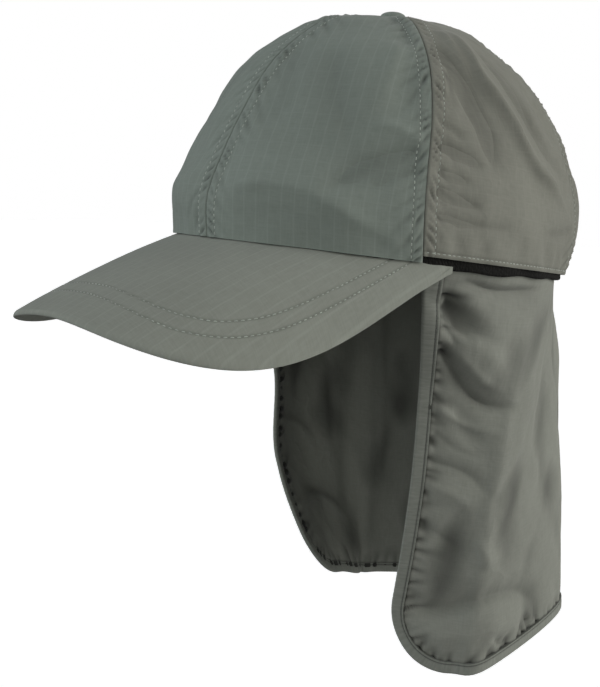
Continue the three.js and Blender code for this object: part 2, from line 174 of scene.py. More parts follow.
# Folds of the flap, in the columns of CROWN_DENTS. The rise is counted down
# from the rim, as a share of the flap's length.
FLAP_FOLDS = (
    (76, 0.12, 170, 6, 0.05, 0.02),
    (84, 0.38, 110, 8, 0.06, 0.024),
    (90, 0.22, 90, 7, 0.06, -0.015),
    (90, 0.84, -240, 12, 0.05, 0.018),
    (116, 0.4, 0, 5, 0.34, -0.012),
    (170, 0.6, 10, 8, 0.35, 0.018),
    (196, 0.6, -10, 8, 0.35, -0.018),
    (229, 0.6, 0, 4, 0.4, 0.02),
    (243, 0.6, 20, 6, 0.25, -0.016),
)

# Creases of the crown's cloth: the places that a crease passes, each an angle
# and a rise, its half width on the left and on the right of its way as seen
# from outside, and its height, below 0 for a dent. Widths and heights are
# millimetres.
CROWN_CREASES = (
    (((4, 0.17), (20, 0.19), (30, 0.18), (37, 0.15), (46, 0.1), (60, 0.02)), 8, 4.5, 2.2),
    (((10, 0.1), (30, 0.11), (42, 0.07)), 7, 6, -0.7),
    (((60, 0.33), (49, 0.292), (42, 0.245), (32, 0.16)), 5, 4, -2.4),
    (((60, 0.345), (50, 0.378), (42, 0.37)), 4, 4, 1.6),
    (((60, 0.28), (52, 0.245), (44, 0.19)), 3, 3, -1.2),
    (((8, 0.64), (12, 0.5), (15, 0.34)), 9, 8, -1.6),
    (((50, 0.66), (47, 0.5), (42, 0.37)), 5, 8, 1.7),
    (((25, 0.62), (33, 0.44), (41, 0.28)), 8, 7, -1.2),
    (((50, 0.85), (54, 0.74), (53, 0.62)), 3.5, 4, -1.3),
    (
        ((75, 0.74), (79, 0.565), (83, 0.5), (88, 0.43), (93, 0.355), (103, 0.27), (116, 0.18)),
        *(5, 2.6, 4),
    ),
    (((66, 0.66), (72, 0.52), (75, 0.45), (79, 0.37), (82, 0.25)), 3.4, 3.4, -3.4),
    (((84, 0.68), (94, 0.5), (100, 0.4), (114, 0.28)), 4, 4, -2.2),
    (((72, 0.74), (73, 0.62), (77, 0.52)), 2.4, 2.4, 1.6),
    (((61, 0.34), (68, 0.322), (79, 0.285)), 3, 2.4, -2.5),
    (((61, 0.27), (68, 0.254), (75, 0.235)), 2.2, 2, -1.5),
    (((61, 0.215), (69, 0.19), (79, 0.165)), 2.8, 2.2, -2),
    (((61, 0.145), (73, 0.118), (90, 0.125)), 3, 2.4, -1.5),
    (((61, 0.41), (67, 0.385), (73, 0.35)), 2.4, 2.2, -1.4),
    (((61, 0.5), (66, 0.47), (70, 0.43)), 2.4, 2.2, -1),
    (((118, 0.15), (108, 0.13), (99, 0.12)), 2.4, 2.6, -1.6),
    (((-4, 0.2), (-26, 0.19), (-44, 0.11)), 12, 5, 1.8),
    (((-20, 0.62), (-26, 0.46), (-31, 0.31)), 8, 8, -1.5),
    (((-60, 0.35), (-50, 0.3), (-41, 0.21)), 4, 4, -2),
    (((-75, 0.7), (-81, 0.5), (-90, 0.37), (-106, 0.22)), 4, 6, 2.6),
    (((-67, 0.64), (-73, 0.47), (-77, 0.3)), 4, 4, -2.4),
    (((-61, 0.31), (-69, 0.29), (-78, 0.25)), 3, 3, -1.6),
    (((-61, 0.18), (-72, 0.15), (-84, 0.14)), 3, 3, -1.5),
    (((132, 0.66), (142, 0.48), (148, 0.31)), 6, 5, 2),
    (((124, 0.37), (134, 0.33), (145, 0.26)), 4, 4, -1.8),
    (((151, 0.6), (159, 0.4), (160, 0.24)), 5, 6, -1.8),
    (((180, 0.31), (190, 0.28), (202, 0.2)), 4, 4, -1.5),
    (((-131, 0.64), (-141, 0.46), (-149, 0.32)), 5, 6, 2),
    (((-124, 0.28), (-135, 0.25), (-146, 0.18)), 4, 4, -1.8),
)

# Creases of the flap in the same columns, where a place is the length along the
# cloth from the left front edge and the height above the lower edge.
FLAP_CREASES = (
    (((36, 176), (37, 158), (38, 139), (38, 120), (38, 98), (35, 76), (33, 54)), 9, 6, 2.4),
    (((3, 180), (9, 173.5), (14, 167), (19, 156)), 4, 3.4, -3.8),
    (((10, 187), (26, 183), (44, 188)), 3.4, 4, -3.4),
    (((3, 167), (10, 160), (16, 150)), 3, 2.6, -2.4),
    (((6, 163), (16, 151), (26, 142), (36, 137)), 4.5, 4, 2.2),
    (((2, 155), (10, 148.5), (17, 139), (25, 131), (36, 129.5), (46, 132)), 4.5, 3, -3.6),
    (((4, 129), (16, 122), (28, 120), (38, 117)), 4.5, 6, 2.2),
    (((3, 116), (18, 108), (32, 106)), 4, 4, -1.2),
    (((2, 99), (20, 98.5), (30, 94), (38, 82)), 4, 3, -2),
    (((4, 90), (22, 86), (32, 78)), 5, 6, 1.3),
    (((1, 73), (14, 67), (27, 61), (38, 49)), 3.6, 3, -1),
    (((2, 29), (20, 28.5), (31, 32), (39, 36), (53, 35), (71, 26), (88, 4)), 6, 3, -2.8),
    (((10, 17), (36, 20), (54, 20), (70, 9)), 8, 7, 1.4),
    (((33, 67), (38, 60), (42, 51)), 3.6, 3.6, 2),
    (((61, -2), (55, 9), (50, 18)), 2.4, 2.4, -2.4),
    (((83, -2), (76, 9), (70, 18)), 2.4, 2.4, -2),
    (((118, 170), (122, 120), (119, 60)), 8, 8, 2.2),
    (((146, 180), (150, 120), (148, 40)), 7, 7, -2.4),
    (((182, 170), (178, 110), (182, 50)), 8, 7, 2.2),
    (((320, 171), (300, 160), (292, 146)), 4, 5, -2.6),
    (((320, 130), (298, 122), (284, 118)), 6, 4, -2.6),
    (((320, 88), (294, 84), (280, 72)), 5, 4, -1.8),
    (((320, 40), (290, 44), (268, 32)), 7, 4, -2.4),
    (((276, 170), (272, 120), (270, 60)), 5, 5, 2),
    (((250, 180), (246, 110), (248, 40)), 6, 6, -2.2),
)


def length_property(name, description, millimetres):
    """Property that holds a length."""
    default = millimetres * MM
    return FloatProperty(name=name, description=description, default=default, unit="LENGTH")


def angle_property(name, description, degrees):
    """Property that holds an angle."""
    default = math.radians(degrees)
    return FloatProperty(
        name=name, description=description, default=default, subtype="ANGLE"
    )


def color_property(name, color):
    """Property that holds a linear colour."""
    return FloatVectorProperty(
        name=name,
        description=f"Linear colour of the {name.lower()}",
        default=color,
        size=3,
        min=0,
        max=1,
        subtype="COLOR",
    )


class CrownSettings(PropertyGroup):
    """Sizes of the crown's seams."""

    stitch_row: length_property(
        "Stitch Row", "Distance of each row of stitches from its seam", 5.3
    )
    seam_raise: length_property(
        "Seam Raise", "How far the folded edges lift the cloth beside a seam", 0.32
    )
    pucker: length_property(
        "Pucker", "Height of the small folds between a seam and its stitches", 0.75
    )
    pucker_pitch: length_property(
        "Pucker Pitch", "Distance between two of the small folds along a seam", 4.7
    )


class PeakSettings(PropertyGroup):
    """Sizes of the peak's stitching."""

    channel: length_property(
        "Channel", "Depth to which the stitches draw the cloth in", 0.22
    )


class FlapSettings(PropertyGroup):
    """Sizes of the flap's gathers."""

    gather_pitch: length_property(
        "Gather Pitch", "Mean distance between two gathers along the binding", 5
    )
    gather_depth: length_property(
        "Gather Depth", "Mean depth of a gather at the binding", 1.25
    )


class ThreadSettings(PropertyGroup):
    """Sizes of the stitches."""

    pitch: length_property("Pitch", "Length of a stitch with the gap to the next", 2.5)
    width: length_property("Width", "Thickness of the thread", 0.42)


class ColorSettings(PropertyGroup):
    """Colours of the cap. The crown, side, peak and flap cloth are lit and shaded copies of one
    cloth: painted light and shade, cooler on the front panels, warmer on the side and back
    panels, lighter on the peak and flap.
    """

    crown: color_property("Crown Cloth", (0.201, 0.234, 0.206))
    side: color_property("Side Cloth", (0.221, 0.226, 0.192))
    peak: color_property("Peak Cloth", (0.254, 0.271, 0.235))
    flap: color_property("Flap Cloth", (0.258, 0.27, 0.235))
    binding: color_property("Binding", (0.235, 0.25, 0.219))
    thread: color_property("Thread", (0.42, 0.46, 0.41))
    dark_thread: color_property("Dark Thread", (0.11, 0.12, 0.105))
    band: color_property("Sweatband", (0.006, 0.006, 0.005))
    floor: color_property("Floor", (0.86, 0.86, 0.86))


class StageSettings(PropertyGroup):
    """Place of the camera and of the floor."""

    azimuth: angle_property(
        "Azimuth", "Angle of the camera round the cap, from the front", 46.713
    )
    elevation: angle_property(
        "Elevation", "Angle of the camera above the horizon", 8.738
    )
    roll: angle_property("Roll", "Angle by which the camera leans", 3)
    distance: length_property(
        "Distance", "Distance of the camera from the point that it looks at", 507
    )
    target: FloatVectorProperty(
        name="Target",
        description="Point that the camera looks at",
        default=(-18.12 * MM, -28.95 * MM, -43.36 * MM),
        size=3,
        subtype="TRANSLATION",
    )
    lens: FloatProperty(
        name="Lens",
        description="Focal length of the camera in millimetres",
        default=55.24,
        min=1,
    )
    floor_gap: length_property(
        "Floor Gap", "Height of the flap's lower edge above the floor", 120
    )


# Curves and fields


def smooth_value(knots, place):
    """Catmull-Rom curve through the knots at the places 0, 1, 2 and so on.

    Between two knots it is the cubic whose slope at each of them is half the
    step between its neighbours. The first and last knot only bend the ends.
    """
    knots = np.stack([np.broadcast_to(knot, place.shape) for knot in knots])
    inside = np.clip(place, 0, len(knots) - 3 - 1e-9)
    row = np.floor(inside).astype(int)
    share = inside - row
    a, b, c, d = (np.take_along_axis(knots, row[None] + step, 0)[0] for step in range(4))
    bend = 2 * a - 5 * b + 4 * c - d
    twist = 3 * b - a - 3 * c + d
    return (2 * b + (c - a) * share + bend * share**2 + twist * share**3) / 2


def gauss(x):
    """Bell of height 1 at 0: e to the power of minus x squared."""
    return np.exp(-(x**2))


def smooth_step(x, low, high):
    """0 below low, 1 above high, and 3 t squared minus 2 t cubed between."""
    t = np.clip((x - low) / (high - low), 0, 1)
    return t * t * (3 - 2 * t)


def dent_share(rows, angle, rise):
    """Sum of bells, each depth times the bell of the distance from its middle."""
    total = 0
    for middle, level, lean, width, height, depth in rows:
        across = (angle - middle - lean * (rise - level)) / width
        total = total + depth * gauss(across) * gauss((rise - level) / height)
    return total


def ripple(x, wave, seed):
    """Smooth noise along a line, mostly between -1 and 1: a mean of five sines
    whose lengths are near wave."""
    rng = np.random.default_rng(seed)
    rates = rng.uniform(0.5, 1.7, 5) * TURN / wave
    phases = rng.uniform(0, TURN, 5)
    return sum(np.sin(x * rate + phase) for rate, phase in zip(rates, phases)) / 2.4


def swell(u, v, wave_u, wave_v, seed):
    """Smooth noise over a surface, mostly between -1 and 1: a mean of eight
    level waves in seeded directions, stretched to wave_u by wave_v."""
    rng = np.random.default_rng(seed)
    total = 0
    for heading, rate, phase in rng.uniform((0, 0.6, 0), (TURN, 1.6, TURN), (8, 3)):
        across = np.cos(heading) * u / wave_u
        along = np.sin(heading) * v / wave_v
        total = total + np.sin(TURN * rate * (across + along) + phase)
    return total / 3


def curve_through(places):
    """Smooth curve of many places through a few, which are rows of numbers."""
    places = np.array(places, float)
    before, after = 2 * places[0] - places[1], 2 * places[-1] - places[-2]
    at = np.linspace(0, len(places) - 1, 8 * len(places) - 7)
    columns = np.vstack([before, places, after]).T
    return np.stack([smooth_value(tuple(column), at) for column in columns], -1)


def crease(points, normals, line, above, below, height):
    """Tent across a line on a surface, which fades towards both of its ends.

    It falls by a factor of e in the width above on the left of the line's way,
    seen from outside, and in the width below on the right: the sign of
    step x offset . normal tells the side.
    """
    reach = 5 * max(above, below)
    near = np.all((points > line.min(0) - reach) & (points < line.max(0) + reach), -1)
    start, step = line[:-1], np.diff(line, axis=0)
    size = np.linalg.norm(step, axis=-1)
    offset = points[near][:, None] - start
    share = np.clip(np.sum(offset * step, -1) / size**2, 0, 1)
    gap = np.linalg.norm(offset - share[..., None] * step, axis=-1)
    nearest = (np.arange(len(gap)), gap.argmin(-1))
    at = (np.cumsum(size) - size + share * size)[nearest] / size.sum()
    side = np.sum(np.cross(step, offset) * normals[near][:, None], -1)[nearest]
    width = np.where(side > 0, above, below)
    ends = smooth_step(at, -0.05, 0.2) * smooth_step(1 - at, 0, 0.35)
    relief = np.zeros(points.shape[:-1])
    relief[near] = height * ends * np.exp(0.3 - np.hypot(gap[nearest] / width, 0.3))
    return relief


def creases(points, normals, rows, place_of):
    """Sum of the creases of a table on a surface, where place_of gives the
    points at two coordinates."""
    total = np.zeros(points.shape[:-1])
    for places, above, below, height in rows:
        line = place_of(*curve_through(places).T)
        widths = (CREASE_WIDTH * above * MM, CREASE_WIDTH * below * MM)
        total += crease(points, normals, line, *widths, height * MM)
    return total


def outwards(angle):
    """Level direction (sin, -cos) of the angle."""
    turn = np.radians(angle)
    return np.stack([np.sin(turn), -np.cos(turn), 0 * turn], -1)


def unit(vectors):
    """Vectors divided by their lengths."""
    return vectors / np.linalg.norm(vectors, axis=-1, keepdims=True)


def grid_normals(grid, is_ring=False):
    """Unit cross product of the steps across and along a grid of points."""
    if is_ring:
        wide = np.concatenate([grid[-1:], grid, grid[:1]])
        return grid_normals(wide)[1:-1]
    return unit(np.cross(np.gradient(grid, axis=0), np.gradient(grid, axis=1)))


def lengths(points, axis=0):
    """Length of the way to each point, along one axis of a grid."""
    steps = np.linalg.norm(np.diff(points, axis=axis), axis=-1)
    return np.insert(np.cumsum(steps, axis=axis), 0, 0, axis=axis)


def along_path(path, at):
    """Points at the given lengths along a path."""
    way = lengths(path)
    return np.stack([np.interp(at, way, path[:, k]) for k in range(3)], -1)


def rim_height(y):
    """Height of the rim's plane: minus y times the slope of its pitch."""
    return -y * PITCH_SLOPE


def rim_point(angle, inset, height):
    """Point of the rim's oval, drawn inwards by inset and lifted by height."""
    way = outwards(angle)
    x = (HALF_WIDTH - inset) * way[..., 0]
    y = (HALF_LENGTH - inset) * way[..., 1]
    return np.stack(np.broadcast_arrays(x, y, rim_height(y) + height), -1)


# Meshes


def quads(at):
    """Four-sided faces of a grid of point numbers, which turn left seen from
    its front."""
    corners = (at[:-1, :-1], at[1:, :-1], at[1:, 1:], at[:-1, 1:])
    return np.stack(corners, -1).reshape(-1, 4)


def shell(outer, inner):
    """Closed wall between two grids of points, front face outer."""
    columns, rows = outer.shape[:2]
    count = columns * rows
    at = np.arange(count).reshape(columns, rows)
    front = quads(at)
    rim = np.concatenate([at[:, 0], at[-1, 1:], at[-2::-1, -1], at[0, -2:0:-1]])
    after = np.roll(rim, -1)
    wall = np.stack([after, rim, rim + count, after + count], -1)
    points = np.concatenate([outer.reshape(-1, 3), inner.reshape(-1, 3)])
    return points, np.concatenate([front, front[:, ::-1] + count, wall])


def tube(sections, is_ring):
    """Closed skin through sections of an even number of points, where the last
    half of a section runs back beside the first. Faces are turned outwards by
    the sign of the volume."""
    count, corners = sections.shape[:2]
    at = np.arange(count * corners).reshape(count, corners)
    at = np.concatenate([at, at[:, :1]], 1)
    if is_ring:
        at = np.concatenate([at, at[:1]])
    faces = [quads(at)]
    if not is_ring:
        k = np.arange(corners // 2 - 1)
        cap = np.stack([k, k + 1, corners - 2 - k, corners - 1 - k], -1)
        faces += [cap, cap[:, ::-1] + (count - 1) * corners]
    points = sections.reshape(-1, 3)
    return turned_outwards(points, np.concatenate(faces))


def turned_outwards(points, faces):
    """Points and faces, with the faces reversed if the volume is below 0."""
    a, b, c, d = (points[faces[:, k]] for k in range(4))
    volume = np.sum(a * np.cross(b, c)) + np.sum(a * np.cross(c, d))
    return points, faces if volume > 0 else faces[:, ::-1]


def add_piece(name, points, faces, material, nodes=(), uv=None, marks=None):
    """Object of a piece of the cap, which rides with the solids and may stand
    for some of them. Marks are numbers for each point that its finish reads."""
    mesh = bpy.data.meshes.new(name)
    mesh.from_pydata(points.tolist(), [], faces.tolist())
    mesh.shade_smooth()
    mesh.set_sharp_from_angle(angle=SHARP_ANGLE)
    if uv is not None:
        corners = np.empty(len(mesh.loops), dtype=np.int32)
        mesh.loops.foreach_get("vertex_index", corners)
        layer = mesh.uv_layers.new(name="cloth")
        layer.data.foreach_set("uv", uv.reshape(-1, 2)[corners].astype(np.float32).ravel())
    for mark, values in (marks or {}).items():
        layer = mesh.attributes.new(mark, "FLOAT", "POINT")
        layer.data.foreach_set("value", values.astype(np.float32).ravel())
    mesh.materials.append(material)
    piece = bpy.data.objects.new(name, mesh)
    bpy.context.scene.collection.objects.link(piece)
    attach(piece, "root")
    if nodes:
        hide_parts(*nodes)
    return piece


def twice(values):
    """Values of a grid for both faces of its shell."""
    flat = values.reshape(-1, *values.shape[2:])
    return np.concatenate([flat, flat])


# Stitches


def stitch_places(path, normals, pitch):
    """Middle, heading and normal of each stitch on a path."""
    way = lengths(path)
    count = max(1, round(way[-1] / pitch))
    at = (np.arange(count) + 0.5) * way[-1] / count
    reach = pitch / 4
    heading = unit(along_path(path, at + reach) - along_path(path, at - reach))
    normal = np.stack([np.interp(at, way, normals[:, k]) for k in range(3)], -1)
    return along_path(path, at), heading, unit(normal)


def stitches(rows, settings):
    """Points and faces of short threads with rounded ends that dip into the
    cloth: rings of six points, whose height falls with the square of the way to
    the end and whose radius falls with its fourth power."""
    middle, heading, normal = (np.concatenate(part) for part in zip(*rows))
    side = unit(np.cross(normal, heading))
    normal = np.cross(heading, side)
    reach = np.array([-1, -0.85, -0.4, 0.4, 0.85, 1])
    turn = np.arange(6) * TURN / 6
    radius = settings.width / 2 * (1 - 0.6 * reach**4)
    rise = settings.width * (0.3 - 0.75 * reach**2)
    x = np.repeat(reach * settings.pitch * 0.33, 6)
    y = np.outer(radius, np.cos(turn)).ravel()
    z = (np.outer(radius * 0.8, np.sin(turn)) + rise[:, None]).ravel()
    points = middle[:, None]
    for offset, way in ((x, heading), (y, side), (z, normal)):
        points = points + offset[:, None] * way[:, None]
    at = np.arange(36).reshape(6, 6)
    wide = np.concatenate([at, at[:, :1]], 1)
    ends = np.array([[0, 5, 4, 1], [1, 4, 3, 2], [30, 31, 34, 35], [31, 32, 33, 34]])
    one = np.concatenate([quads(wide.T), ends])
    every = one[None] + 36 * np.arange(len(middle))[:, None, None]
    return turned_outwards(points.reshape(-1, 3), every.reshape(-1, 4))


def sew(name, rows, color):
    """Object of every stitch of the rows."""
    points, faces = stitches(rows, bpy.context.scene.cap_thread)
    thread = thread_finish(f"{name}_thread", color)
    return add_piece(f"{name}_stitches", points, faces, thread)


# Crown


def crown_share(column, rise):
    """Column of CROWN_SECTIONS at a rise. Past the top the outline comes back
    on the other side, so the crown is level there."""
    values = CROWN_SECTIONS[column]
    after = values[-2] if column == "level" else -values[-2]
    knots = (2 * values[0] - values[1], *values, after)
    return smooth_value(knots, rise * (len(values) - 1))


def crown_point(angle, rise, lift, puff):
    """Point of the crown: the rim's oval shrunk to the outline at the rise, and
    moved out by the puff of the panel and in by the soft dents."""
    angle, rise = np.broadcast_arrays(angle, rise)
    way = outwards(angle)
    level = crown_share("level", rise)
    ends = np.where(way[..., 1] < 0, crown_share("front", rise), crown_share("back", rise))
    rim = rim_point(angle, 0, lift)
    x = rim[..., 0] * crown_share("side", rise)
    y = rim[..., 1] * ends + TOP_SHIFT * level
    z = rim[..., 2] + (CROWN_HEIGHT - rim[..., 2]) * level
    dent = dent_share(CROWN_DENTS, angle, rise) * 2 * HALF_WIDTH
    out = puff * np.sin(math.pi * rise) - dent
    return np.stack([x, y, z], -1) + out[..., None] * way


# Distances from a seam at which a panel has a column, and from the hem at which
# it has a row.
SEAM_COLUMNS = MM * np.array(
    [0, 0.2, 0.45, 0.8, 1.3, 2, 2.8, 3.6, 4.3, 4.8, 5.3, 5.8, 6.4, 7.4, 9]
)
HEM_ROWS = MM * np.array([0, 0.25, 0.6, 1.1, 1.6, 2.1, 2.6, 3.2, 4, 5])
STITCH_COLUMN = 10  # column of SEAM_COLUMNS on which the stitches run
HEM_STITCH_ROW = 5
PANEL_HEIGHT = 160 * MM  # mean length of a panel from the hem to the button


def hole_rise(angle):
    """Rise at which a panel ends under the button."""
    rises = np.linspace(0.9, 1, 400)
    point = crown_point(angle, rises, 0, 0)
    radius = np.hypot(point[:, 0], point[:, 1] - TOP_SHIFT)
    return np.interp(-HOLE_RADIUS, -radius, rises)


def seam_relief(distance, along, squeeze, seed, settings):
    """Height of the cloth beside a seam, and the painted shade of its hollows.

    It is a band that the folded edges raise as far as the stitches, a narrow
    ditch on the seam, a channel under the stitches, and slanted waves that are
    strongest between the two and fade beyond.
    """
    d = distance / squeeze
    row = settings.stitch_row
    band = (1 - gauss(d / (0.4 * MM))) * (1 - smooth_step(d, row, row + 1.4 * MM))
    ditch = 0.3 * MM * gauss(d / (0.22 * MM))
    channel = 0.26 * MM * gauss((d - row) / (0.5 * MM))
    phase = TURN * (along + 0.9 * d) / settings.pucker_pitch
    wave = np.sin(phase + 2.2 * ripple(along, 34 * MM, seed))
    strength = 0.62 + 0.42 * ripple(along, 26 * MM, seed + 1)
    between = gauss((d - row * 0.55) / (row * 0.33))
    beyond = smooth_step(d, row, row + 1.5 * MM) * np.exp(-np.maximum(d - row, 0) / (5 * MM))
    pull = np.sin(phase * 0.62 + 3 * ripple(along, 40 * MM, seed + 2))
    reach = 0.5 + 0.5 * ripple(along, 45 * MM, seed + 3)
    folds = wave * strength * between + 0.75 * pull * reach * beyond
    # Painted shade: darker in the troughs of the small folds, in the ditch on the seam and in
    # the channel under the stitches.
    dark = 0.75 * np.clip(-folds, 0, 1) + 0.4 * gauss(d / (0.18 * MM))
    dark = dark + 0.25 * gauss((d - row) / (0.35 * MM))
    height = settings.seam_raise * band - ditch - channel + settings.pucker * folds
    return height * squeeze, dark


def crown_panel(start, end, lift, seed, settings):
    """Grids of one panel between the seams at two angles: its outer and inner points, its
    normals, its cloth coordinates and its painted shade in the hollows of its seams, creases
    and hem.

    The columns keep fixed distances from the two seams, measured along each
    row, so that stitches and puckers run beside them.
    """
    high = hole_rise((start + end) / 2)
    body = np.linspace(HEM_ROWS[-1] / PANEL_HEIGHT, 1, PANEL_ROWS)
    rise = high * np.concatenate([HEM_ROWS[:-1] / PANEL_HEIGHT, body])
    angles = np.linspace(start, end, 241)
    way = lengths(crown_point(angles[:, None], rise, lift, 0))
    width = way[-1]
    squeeze = np.minimum(1, 0.8 * width / (2 * SEAM_COLUMNS[-1]))
    left = SEAM_COLUMNS[:, None] * squeeze
    right = width - left[::-1]
    count = round(width.max() / PANEL_STEP)
    share = (np.arange(1, count) / count)[:, None]
    distance = np.concatenate([left, left[-1] + (right[0] - left[-1]) * share, right])
    each_row = [np.interp(distance[:, k], way[:, k], angles) for k in range(len(rise))]
    angle = np.stack(each_row, 1)
    place = (angle - start) / (end - start)
    base = crown_point(angle, rise, lift, PANEL_PUFF * 4 * place * (1 - place))
    normal = grid_normals(base)
    along = lengths(base, axis=1)
    from_right = width - distance
    height, shade = seam_relief(distance, along, squeeze, seed, settings)
    relief, dark = seam_relief(from_right, along, squeeze, seed + 10, settings)
    height, shade = height + relief, shade + dark
    seams = np.minimum(distance, from_right) / squeeze
    fade = smooth_step(np.minimum(distance, from_right), 0, 12 * MM)
    cloth = swell(distance, along, 34 * MM, 46 * MM, seed + 20) * 0.42 * MM
    cloth = cloth + swell(distance, along, 13 * MM, 17 * MM, seed + 21) * 0.1 * MM
    hem_wave = ripple(distance, 19 * MM, seed + 22) * gauss((along - 6 * MM) / (6 * MM))
    height = height + (cloth + 0.35 * MM * hem_wave) * fade

    def crown_place(angle, rise):
        return crown_point(angle, rise, lift, 0)

    folds = creases(base, normal, CROWN_CREASES, crown_place)
    folds = folds * smooth_step(seams, 0.5 * MM, 6 * MM)
    height = height + folds
    # Painted shade in the hollows of the creases.
    shade = shade + 0.22 * np.clip(-folds / (2 * MM), 0, 1)
    if lift > 0:
        from_row = along - HEM_ROWS[HEM_STITCH_ROW]
        height = height - 0.25 * MM * gauss(from_row / (0.5 * MM))
        height = height - 0.4 * MM * (1 - smooth_step(along, 0, 0.8 * MM))
        # Painted shade in the channel under the hem's stitches.
        shade = shade + 0.25 * gauss(from_row / (0.45 * MM))
    uv = np.stack([distance - width / 2, along], -1)
    outer = base + height[..., None] * normal
    return outer, base - CLOTH * normal, normal, uv, np.clip(shade, 0, 1)


def panel_rows(outer, normal, has_hem, thread):
    """Stitch places on one panel: beside its two seams, and along its hem."""
    top = np.hypot(outer[STITCH_COLUMN, :, 0], outer[STITCH_COLUMN, :, 1] - TOP_SHIFT)
    last = int(np.argmax(top < STITCH_END))
    rows = []
    for column in (STITCH_COLUMN, -1 - STITCH_COLUMN):
        path = outer[column, 2:last]
        rows.append(stitch_places(path, normal[column, 2:last], thread.pitch))
    if has_hem:
        path = outer[3:-3, HEM_STITCH_ROW]
        rows.append(stitch_places(path, normal[3:-3, HEM_STITCH_ROW], thread.pitch))
    return rows


PANELS = (
    ("front_panel_left", 0, 61, FRONT_DROP),
    ("side_panel_left", 61, 124, HEM_LIFT),
    ("back_panel_left", 124, 180, HEM_LIFT),
    ("back_panel_right", -180, -124, HEM_LIFT),
    ("side_panel_right", -124, -61, HEM_LIFT),
    ("front_panel_right", -61, 0, FRONT_DROP),
)


class CAP_OT_crown(Operator):
    """Sew the crown's six panels."""

    bl_idname = "cap.crown"
    bl_label = "Crown"

    def execute(self, context):
        scene = context.scene
        colors = scene.cap_colors
        # The front and the side panels get copies of one cloth, tinted apart for the light that
        # falls on each: painted light and shade.
        front = ripstop("front_cloth_painted_light", colors.crown, RIPSTOP_PITCH, 0.13, 0.05, 2)
        side = ripstop("side_cloth_painted_light", colors.side, RIPSTOP_PITCH, 0.05, 0.05, 4)
        rows = []
        for number, (node, start, end, lift) in enumerate(PANELS):
            seed = 100 * (number + 1)
            grids = crown_panel(start, end, lift, seed, scene.cap_crown)
            outer, inner, normal, uv, shade = grids
            points, faces = shell(outer, inner)
            finish = side if lift > 0 else front
            # The mark 'seam' carries the panel's painted shade.
            marks = {"seam": twice(shade)}
            name = f"{node}_cloth"
            add_piece(name, points, faces, finish, [node], twice(uv), marks)
            rows += panel_rows(outer, normal, lift > 0, scene.cap_thread)
        sew("crown", rows, colors.thread)
        return {"FINISHED"}


class CAP_OT_button(Operator):
    """Cover the button on top of the crown."""

    bl_idname = "cap.button"
    bl_label = "Button"

    def execute(self, context):
        low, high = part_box("top_button")
        radius = (high.x - low.x) / 2
        middle = (high.y + low.y) / 2
        base = low.z + SHANK
        turn = np.linspace(0, TURN, 97)[:-1, None]
        # The profile goes from the shank's end out to the edge, and over the
        # dome to its top.
        under = np.array([0.04, 0.4, 0.4, 0.9]), np.array([-SHANK, -SHANK, 0, 0])
        bend = np.linspace(0, math.pi / 2, 20)[:-1]
        reach = np.concatenate([under[0], 0.04 + 0.96 * np.cos(bend) ** 0.8])
        dome = 0.25 * MM + (high.z - base - 0.25 * MM) * np.sin(bend) ** 0.9
        height = np.concatenate([under[1], dome])
        wave = np.cos(18 * turn + 2 * np.sin(3 * turn))
        spread = radius * reach + 0.13 * MM * smooth_step(reach, 0.5, 1) * wave
        x, y = spread * np.sin(turn), middle - spread * np.cos(turn)
        points = np.stack(np.broadcast_arrays(x, y, base + height), -1)
        count, rows = points.shape[:2]
        poles = np.array([[0, middle, base - SHANK], [0, middle, high.z]])
        at = np.arange(count * rows).reshape(count, rows)
        ring = np.concatenate([at, at[:1]])
        fans = []
        for pole, row in ((count * rows, 0), (count * rows + 1, -1)):
            a, b, c = ring[:-2:2, row], ring[1:-1:2, row], ring[2::2, row]
            fan = np.stack([np.full_like(a, pole), a, b, c], -1)
            fans.append(fan[:, ::-1] if row == 0 else fan)
        cloud = np.concatenate([points.reshape(-1, 3), poles])
        skin = np.concatenate([quads(ring), *fans])
        uv = cloud[:, :2].copy()
        color = context.scene.cap_colors.crown
        finish = ripstop("button_cloth", color, RIPSTOP_PITCH, 0.1, 0.06, 1)
        cloud, skin = turned_outwards(cloud, skin)
        marks = {"seam": np.zeros(len(cloud))}
        nodes = ["top_button"]
        add_piece("button_cover", cloud, skin, finish, nodes, uv, marks)
        return {"FINISHED"}


# Peak


def peak_end():
    """Point of the rim where the peak ends on the left."""
    return rim_point(np.array(PEAK_END), CLOTH, 0)


def rim_front(x):
    """Y of the rim's front at x, where the peak starts."""
    return -(HALF_LENGTH - CLOTH) * np.sqrt(1 - (x / (HALF_WIDTH - CLOTH)) ** 2)


def peak_edge(side):
    """Plan of the peak's edge for a side from -1 to 1: a superellipse."""
    end = peak_end()
    reach = HALF_LENGTH + PEAK_LENGTH + end[1] - PEAK_TAIL
    bow = (1 - np.abs(side) ** PEAK_CORNER_ACROSS) ** (1 / PEAK_CORNER_ALONG)
    return np.stack([end[0] * side, end[1] - PEAK_TAIL - reach * bow], -1)


def peak_height(plan):
    """Height of the peak's upper face over a plan point: it falls from the rim,
    ever more towards the front edge, and also more at the sides."""
    x, y = plan[..., 0], plan[..., 1]
    start = rim_front(x)
    share = (start - y) / PEAK_LENGTH
    width = np.abs(x) / peak_end()[0]
    arch = PEAK_ARCH * width**PEAK_ARCH_POWER * share
    fall = PEAK_SLOPE * (start - y) + PEAK_DROOP * share**2 + arch
    return rim_height(start) - PEAK_SEAT - fall


def row_inset(row, x):
    """Distance of a row of stitches from the peak's edge, at x."""
    side = x / peak_end()[0]
    return np.interp(side, PEAK_ROWS["side"], PEAK_ROWS[row]) * MM


